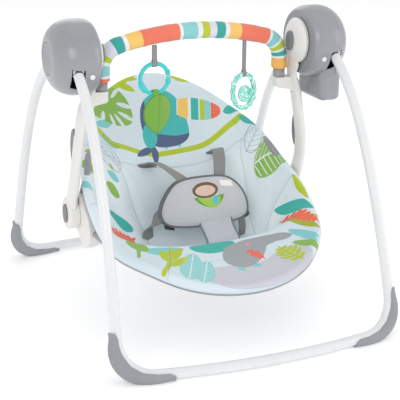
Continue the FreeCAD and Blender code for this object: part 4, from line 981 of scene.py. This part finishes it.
def webbing(name, colour):
    """Herringbone tape with a firm edge; cu runs across, cv along."""
    s = Shade(name, colour, 0.8, 0.0, 0.0, 0.2)
    cu_, cv_ = s.attr("cu"), s.attr("cv")
    zig = s.math("PINGPONG", cu_, 3.0)
    rib = s.math("SINE", s.math("MULTIPLY", s.math("ADD", cv_, zig), 2 * math.pi / 1.6))
    ends = s.math("SINE", s.math("MULTIPLY", cu_, 2 * math.pi / 1.1))
    h = s.math("ADD", s.math("MULTIPLY", rib, 0.6), s.math("MULTIPLY", ends, 0.4))
    base = s.tint(colour, 0.06, 20.0)
    # painted shade: the valleys between the ribs are darkened by up to 30% towards black
    dark = s.mix(0.3, base, (0.0, 0.0, 0.0, 1.0))
    s.set("Base Color", s.mix(s.span(h, -0.8, 0.2, 0.8, 0.0), base, dark))
    s.bump(h, 0.35, 0.0005)
    return s


taupe = webbing("webbing_taupe", rgb(142, 143, 142))
strap_l = ribbon("shoulder_strap_left", [(-66, 112, 246), (-63, 100, 257), (-57, 74, 266), (-47, 44, 263),
                                         (-34, 20, 253), (-25, 9, 242), (-22, 4, 226)], 25.0, 1.8,
                 taupe.mat, "seat", [(1, 0.1, 0), (1, 0.2, -0.25), (1, 0.1, -0.1)])
strap_r = ribbon("shoulder_strap_right", [(88, 120, 256), (87, 110, 266), (80, 88, 278), (69, 54, 279),
                                          (60, 28, 266), (53, 12, 248), (49, 4, 226)], 25.0, 1.8,
                 taupe.mat, "seat", [(1, -0.1, 0), (1, 0.35, 0.1), (1, 0, 0)])
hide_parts("shoulder_straps")
waist_l = ribbon("waist_strap_left", [(-50, -2, 193), (-66, 3, 184), (-83, 12, 168), (-92, 24, 148),
                                      (-90, 30, 122)], 26.0, 1.8, taupe.mat, "seat",
                 [(0.1, 0.3, 0.95), (0.5, 0.0, 0.8), (0.9, 0.2, 0.2)])
waist_r = ribbon("waist_strap_right", [(80, -2, 182), (90, -4, 168), (97, -4, 150), (100, 0, 130),
                                       (101, 8, 112)], 15.0, 1.8, taupe.mat, "seat",
                 [(0.7, 0.1, 0.6), (1, 0, 0.1), (1, 0, 0)])
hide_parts("waist_straps")


def on_crotch(a, b, n):
    """a across, b down from the pad into the seat, n towards the front."""
    a, b, n = np.broadcast_arrays(np.asarray(a, float), b, n)
    line = spline([(32, -10, 178), (32, -22, 162), (33, -38, 148), (34, -54, 136), (34, -62, 122)], count=60)
    t = tangents(line)
    s = np.linspace(0, 1, 60)
    f = np.clip(b, 0, 1)
    c = np.stack([np.interp(f, s, line[:, k]) for k in range(3)], axis=-1)
    d = np.stack([np.interp(f, s, t[:, k]) for k in range(3)], axis=-1)
    side = np.array([1.0, 0.0, 0.0])
    face = np.cross(side, d)
    face *= np.where(face[..., 1:2] > 0, -1.0, 1.0)
    return c + a[..., None] * side + n[..., None] * face


crotch_rows = np.linspace(0, 1, 34)
crotch_us = np.linspace(-35, 35, 36)
cp, cf = [], []
for f in crotch_rows:
    w = 35.0 * (1.0 - 0.06 * math.sin(math.pi * f))
    top_n = 4.2 * (1 - np.abs(crotch_us / 35) ** 4) ** 0.5
    ring_ = np.vstack([on_crotch(crotch_us * w / 35, f, top_n), on_crotch(crotch_us[::-1] * w / 35, f, -3.0)])
    cp.append(ring_)
k = len(cp[0])
for i in range(len(cp) - 1):
    for j in range(k):
        q = (j + 1) % k
        cf.append((i * k + j, (i + 1) * k + j, (i + 1) * k + q, i * k + q))
cf.append(tuple(reversed(range(k))))
cf.append(tuple((len(cp) - 1) * k + j for j in range(k)))
crotch_mat = cloth("crotch_heather", rgb(200, 203, 210), 0.9, heather=0.4, fleck=rgb(176, 180, 188))
crotch = make_mesh("crotch_pad", np.vstack(cp), cf, crotch_mat.mat, "seat")
attribute(crotch, "cu", np.tile(np.concatenate([crotch_us, crotch_us[::-1]]), len(cp)))
attribute(crotch, "cv", np.repeat(crotch_rows * 72.0, k))
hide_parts("crotch_strap")
edge_mat = cloth("crotch_piping", rgb(118, 134, 142), 0.8)
for word, sgn in (("left", -1), ("right", 1)):
    f = np.linspace(0, 1, 50)
    path = on_crotch(sgn * 35.2 * (1.0 - 0.06 * np.sin(math.pi * f)), f, 0.6)
    o = tube("crotch_piping_" + word, path, 1.9, edge_mat.mat, "seat", 10, False, (1, 0, 0))


def rounded_box(name, centre, axes, size, material, body, bevel=1.2):
    """Box of the given size on three axes, with soft edges."""
    axes = [np.array(a, float) / np.linalg.norm(a) for a in axes]
    corners = []
    for i in (-1, 1):
        for j in (-1, 1):
            for m in (-1, 1):
                corners.append(np.array(centre, float) + axes[0] * i * size[0] / 2
                               + axes[1] * j * size[1] / 2 + axes[2] * m * size[2] / 2)
    quads = [(0, 1, 3, 2), (4, 6, 7, 5), (0, 4, 5, 1), (2, 3, 7, 6), (0, 2, 6, 4), (1, 5, 7, 3)]
    obj = make_mesh(name, corners, quads, material, body, smooth=False)
    mod = obj.modifiers.new("soft_edges", "BEVEL")
    mod.width = bevel / 1000.0
    mod.segments = 3
    return obj


clip_l = rounded_box("waist_adjuster_left", on_pad(-76.0, -44.0, -8.0), [PAD_A + PAD_B * -0.25, PAD_B, PAD_N],
                     (20, 9, 5), M["buckle"].mat, "seat")
clip_r = rounded_box("waist_adjuster_right", on_pad(90.0, -38.0, -8.0), [PAD_A + PAD_B * 0.5, PAD_B, PAD_N],
                     (16, 9, 5), M["buckle"].mat, "seat")


# ------------------------------------------------------------------ toy bar cover
BAR_X, BAR_Y, BAR_TOP, BAR_BIG, BAR_CORNER, COVER_END, COVER_R = 184.0, 25.0, 534.5, 597.0, 45.0, 448.0, 15.9


def bar_line(count):
    big = BAR_TOP - BAR_BIG
    cx = BAR_X - BAR_CORNER
    cz = big + math.sqrt((BAR_BIG - BAR_CORNER) ** 2 - cx ** 2)
    turn = math.atan2(cz - big, cx)
    left = [(-BAR_X, z) for z in np.linspace(COVER_END, cz, 30)]
    left += [(-(cx + BAR_CORNER * math.cos(a)), cz + BAR_CORNER * math.sin(a))
             for a in np.linspace(0, turn, 40)[1:]]
    top = [(BAR_BIG * math.cos(a), big + BAR_BIG * math.sin(a))
           for a in np.linspace(math.pi - turn, turn, 260)[1:-1]]
    right = [(-x, z) for x, z in reversed(left)]
    return resample(np.array([(x, BAR_Y, z) for x, z in left + top + right]), count)


W, A, T, L, Yw, C, O, P = (rgb(240, 242, 244), rgb(140, 212, 214), rgb(44, 170, 160), rgb(190, 206, 40),
                           rgb(253, 205, 110), rgb(246, 122, 92), rgb(248, 186, 92), rgb(222, 224, 236))
STRIPES = [(0, C), (9, W), (14, A), (34, W), (41, L), (52, P), (72, T), (91, W), (99, Yw), (128, C), (203, W),
           (209, A), (239, W), (249, L), (264, P), (278, T), (296, W), (305, Yw), (330, C), (391, W), (396, A),
           (411, W), (416, L), (427, W), (432, T), (442, W), (447, O)]
bar = bar_line(470)
s_bar = np.concatenate([[0.0], np.cumsum(np.linalg.norm(np.diff(bar, axis=0), axis=1))])
pinch = np.zeros(len(bar))
for at, _ in STRIPES[1:]:
    pinch += np.exp(-((s_bar - at) / 1.3) ** 2)
swell = 0.35 * np.sin(s_bar / 9.0) + 0.25 * np.sin(s_bar / 4.1 + 1.0)
ends = np.minimum(1.0, np.minimum(s_bar, s_bar[-1] - s_bar) / 5.0) ** 0.5
radius = (COVER_R - 0.45 * pinch + swell * 0.6) * (0.62 + 0.38 * ends)


def bar_material():
    s = Shade("bar_cover_stripes", STRIPES[0][1], 0.82, 0.0, 0.0, 0.3)
    along = s.attr("cu")
    colour = STRIPES[0][1]
    for at, c in STRIPES[1:]:
        colour = s.mix(s.span(along, at - 0.3, at + 0.3), colour, c)
    colour = s.mix(s.span(s.noise(22.0, 3.0), 0.3, 0.7, 0.0, 0.10), colour, rgb(120, 120, 130))
    threads = s.weave(along, s.attr("cv"), 0.9)
    # painted shade: the gaps between the threads are darkened by up to 16% towards black
    dark = s.mix(0.16, colour, (0.0, 0.0, 0.0, 1.0))
    s.set("Base Color", s.mix(s.span(threads, 0.0, 0.5, 0.7, 0.0), colour, dark))
    s.set("Roughness", s.span(s.noise(80.0, 3.0), 0.3, 0.7, 0.74, 0.9))
    s.bump(s.noise(45.0, 4.0), 0.35, 0.004)
    s.bump(threads, 0.3, 0.0005)
    return s.mat


cover = tube("toy_bar_sleeve", bar, radius, bar_material(), "toy_bar", sides=40, up=(0, 1, 0))
# the sleeve is pressed flat where it passes the swing arm's disc on its way out of the socket
dome_t = np.linspace(0, 1, 60)
dome_r = 43.5 * (1 - dome_t) ** 3 + 129 * (1 - dome_t) ** 2 * dome_t + 90 * (1 - dome_t) * dome_t ** 2
dome_x = (206.5 * (1 - dome_t) ** 3 + 609 * (1 - dome_t) ** 2 * dome_t + 582 * (1 - dome_t) * dome_t ** 2
          + 194 * dome_t ** 3)
for v in cover.data.vertices:
    x_, y_, z_ = v.co.x * 1000, v.co.y * 1000 - ORIGIN_Y, v.co.z * 1000
    reach_ = math.hypot(y_, z_ - min(max(z_, 488.4), 507.4))
    if reach_ < 44.5:
        top_x = float(np.interp(reach_ - 1.0, dome_r[::-1], dome_x[::-1])) - 0.8
        if abs(y_) < 14.5:
            top_x = min(top_x, 187.6)
        if abs(x_) > top_x:
            v.co.x = math.copysign(top_x, x_) / 1000
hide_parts("toy_bar_cover")

# directions down from the underside of the sleeve; the loop below draws nothing, so there is no closing seam
under = bar.copy()
t_bar = tangents(bar)
down = np.cross(t_bar, np.array([0.0, 1.0, 0.0]))
down *= np.where(down[:, 2:3] > 0, -1.0, 1.0)
for side in (slice(0, 40), slice(430, 470)):
    pass

# ------------------------------------------------------------------ hanging toys
TOY_Y = 21.8
grey_loop = webbing("loop_grey", rgb(150, 152, 156))


def hanging_loop(name, x, top, bottom, width, node):
    """Tape folded over a ring: two layers side by side that open into an eye."""
    eye = 6.0
    path = []
    for z in np.linspace(top, bottom + eye * 1.7, 14):
        path.append((x, TOY_Y + 0.9, z))
    for a in np.linspace(60, 300, 24):
        r = math.radians(90 - a)
        path.append((x, TOY_Y + eye * math.cos(r) * 0.82, bottom + eye * math.sin(r)))
    for z in np.linspace(bottom + eye * 1.7, top, 14):
        path.append((x, TOY_Y - 0.9, z))
    path = np.array(path)
    obj = ribbon(name, path, width, 1.2, grey_loop.mat, "toy_bar" if node is None else node)
    return obj


ring_low = hanging_loop("ring_loop", -80.0, 512.0, 477.0, 10.0, "ring_toy")
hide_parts("ring_strap")
teether_low = hanging_loop("teether_loop", 106.0, 510.0, 444.0, 8.0, "teether_toy")
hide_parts("teether_strap")

# knuckles where the ring opens, and the fat grip on its left
ring_c = np.array([-80.0, TOY_Y, 448.5])
for name, a0, a1, r0, swell_ in (("ring_grip", 188, 236, 4.3, 2.2), ("ring_knob_upper", 14, 30, 4.1, 1.6),
                                 ("ring_knob_lower", -22, -4, 4.1, 1.6)):
    ang = np.radians(np.linspace(a0, a1, 30))
    f = np.linspace(0, 1, 30)
    path = ring_c + 28.5 * np.stack([np.cos(ang), np.zeros(30), np.sin(ang)], axis=1)
    o = tube(name, path, r0 + swell_ * np.sin(math.pi * f) ** 0.6 * 0.9, M["ring"].mat, "ring_toy", 18, False,
             (0, 1, 0))

# plush leaf: two panels over a soft filling, pointed at the bottom
LEAF_OUT = [(0, 35), (14, 31), (23, 18), (26, 2), (23, -16), (14, -30), (4, -39), (-4, -38), (-16, -29),
            (-25, -14), (-27, 4), (-22, 20), (-12, 31)]
leaf_o = np.array([-75.0, TOY_Y - 5.0, 383.0])


def on_leaf(a, b, n):
    a, b, n = np.broadcast_arrays(np.asarray(a, float), b, n)
    x = a + 0.06 * b
    rib = 1.6 * np.exp(-(a / 1.6) ** 2)
    y = -(n - rib * (n > 0.5)) + 0.004 * a * a
    return leaf_o + np.stack([x, y, b + 0.0 * a], axis=-1)


def leaf_material():
    green = rgb(128, 186, 66)
    s = cloth("plush_leaf", green, 0.8, depth=0.5, sheen=0.5, heather=0.3, fleck=rgb(108, 164, 50))
    a, b = s.attr("cu"), s.attr("cv")
    side = s.math("ABSOLUTE", a)
    ribs = s.math("PINGPONG", s.math("SUBTRACT", b, s.math("MULTIPLY", side, 1.1)), 4.4)
    line = s.math("MINIMUM", s.math("SUBTRACT", ribs, 0.45), s.math("SUBTRACT", side, 0.6))
    veins_ = s.below(line, 0.0, 0.25)
    base = s.mix(s.math("MULTIPLY", veins_, 0.55), s.base, rgb(92, 150, 40))
    s.set("Base Color", base)
    s.bump(s.math("SUBTRACT", 1.0, veins_), 0.5, 0.0009)
    return s.mat


plush, _, leaf_line = pillow("plush_leaf", LEAF_OUT, on_leaf, 6.0, 1.0, leaf_material(), "leaf", 26, 110, 2.2)
back_rows = plush.data
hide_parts("leaf_toy")
edge_tube = on_leaf(leaf_line[:, 0], leaf_line[:, 1], 0.0)
leaf_edge = tube("plush_leaf_edge", edge_tube, 1.1, cloth("leaf_edge", rgb(104, 160, 48), 0.8).mat, "leaf", 8,
                 True, (0, 1, 0))
eye = np.radians(np.linspace(-30, 210, 30))
eye_path = np.stack([-79 + 0 * eye, TOY_Y + 6.3 * np.cos(eye), 420.5 + 6.3 * np.sin(eye)], axis=1)
leaf_eye = ribbon("plush_leaf_eye", eye_path, 12.0, 1.6, cloth("leaf_tape", rgb(118, 176, 58), 0.8).mat, "leaf")


# ------------------------------------------------------------------ stage, light, camera
def stage_plane():
    size = 60.0
    mesh = bpy.data.meshes.new("studio_floor")
    mesh.from_pydata([(-size, -size, -0.0005), (size, -size, -0.0005), (size, size, -0.0005),
                      (-size, size, -0.0005)], [], [(0, 1, 2, 3)])
    obj = bpy.data.objects.new("studio_floor", mesh)
    bpy.context.scene.collection.objects.link(obj)
    s = Shade("studio_white", (1.0, 1.0, 1.0, 1.0), 1.0)
    s.bsdf.inputs["Emission Color"].default_value = (1.0, 1.0, 1.0, 1.0)
    s.bsdf.inputs["Emission Strength"].default_value = 0.16
    mesh.materials.append(s.mat)


stage_plane()


def area(name, location, target, size, power):
    data = bpy.data.lights.new(name, "AREA")
    data.shape = "DISK"
    data.size = size
    data.energy = power
    obj = bpy.data.objects.new(name, data)
    obj.location = location
    obj.rotation_euler = (Vector(target) - Vector(location)).to_track_quat("-Z", "Y").to_euler()
    bpy.context.scene.collection.objects.link(obj)


area("key", (-1.9, -2.4, 1.9), (0, 0, 0.3), 1.8, 20)
area("fill", (2.6, -1.6, 1.2), (0, 0, 0.3), 2.2, 15)
area("top", (0.2, 0.6, 3.2), (0, 0, 0.3), 2.2, 4)
area("back", (0.5, 2.8, 1.8), (0, 0, 0.4), 2.0, 7)
world = bpy.data.worlds.new("studio")
bpy.context.scene.world = world
world.use_nodes = True
back = world.node_tree.nodes["Background"]
back.inputs["Color"].default_value = (1.0, 1.0, 1.0, 1.0)
back.inputs["Strength"].default_value = 0.8

camera = bpy.data.cameras.new("camera")
camera.lens = 106.5
camera.sensor_width = 36.0
eye_obj = bpy.data.objects.new("camera", camera)
forward = Vector((0.37893, 0.87129, -0.31189)).normalized()
ROLL = 0.011816
right = forward.cross(Vector((0, 0, 1))).normalized()
above = right.cross(forward).normalized()
r2 = right * math.cos(ROLL) + above * math.sin(ROLL)
u2 = above * math.cos(ROLL) - right * math.sin(ROLL)
eye_obj.matrix_world = Matrix((
    (r2.x, u2.x, -forward.x, -0.8718),
    (r2.y, u2.y, -forward.y, -2.03575),
    (r2.z, u2.z, -forward.z, 0.9271),
    (0.0, 0.0, 0.0, 1.0),
))
bpy.context.scene.collection.objects.link(eye_obj)
bpy.context.scene.camera = eye_obj
bpy.context.scene.view_settings.view_transform = "Standard"
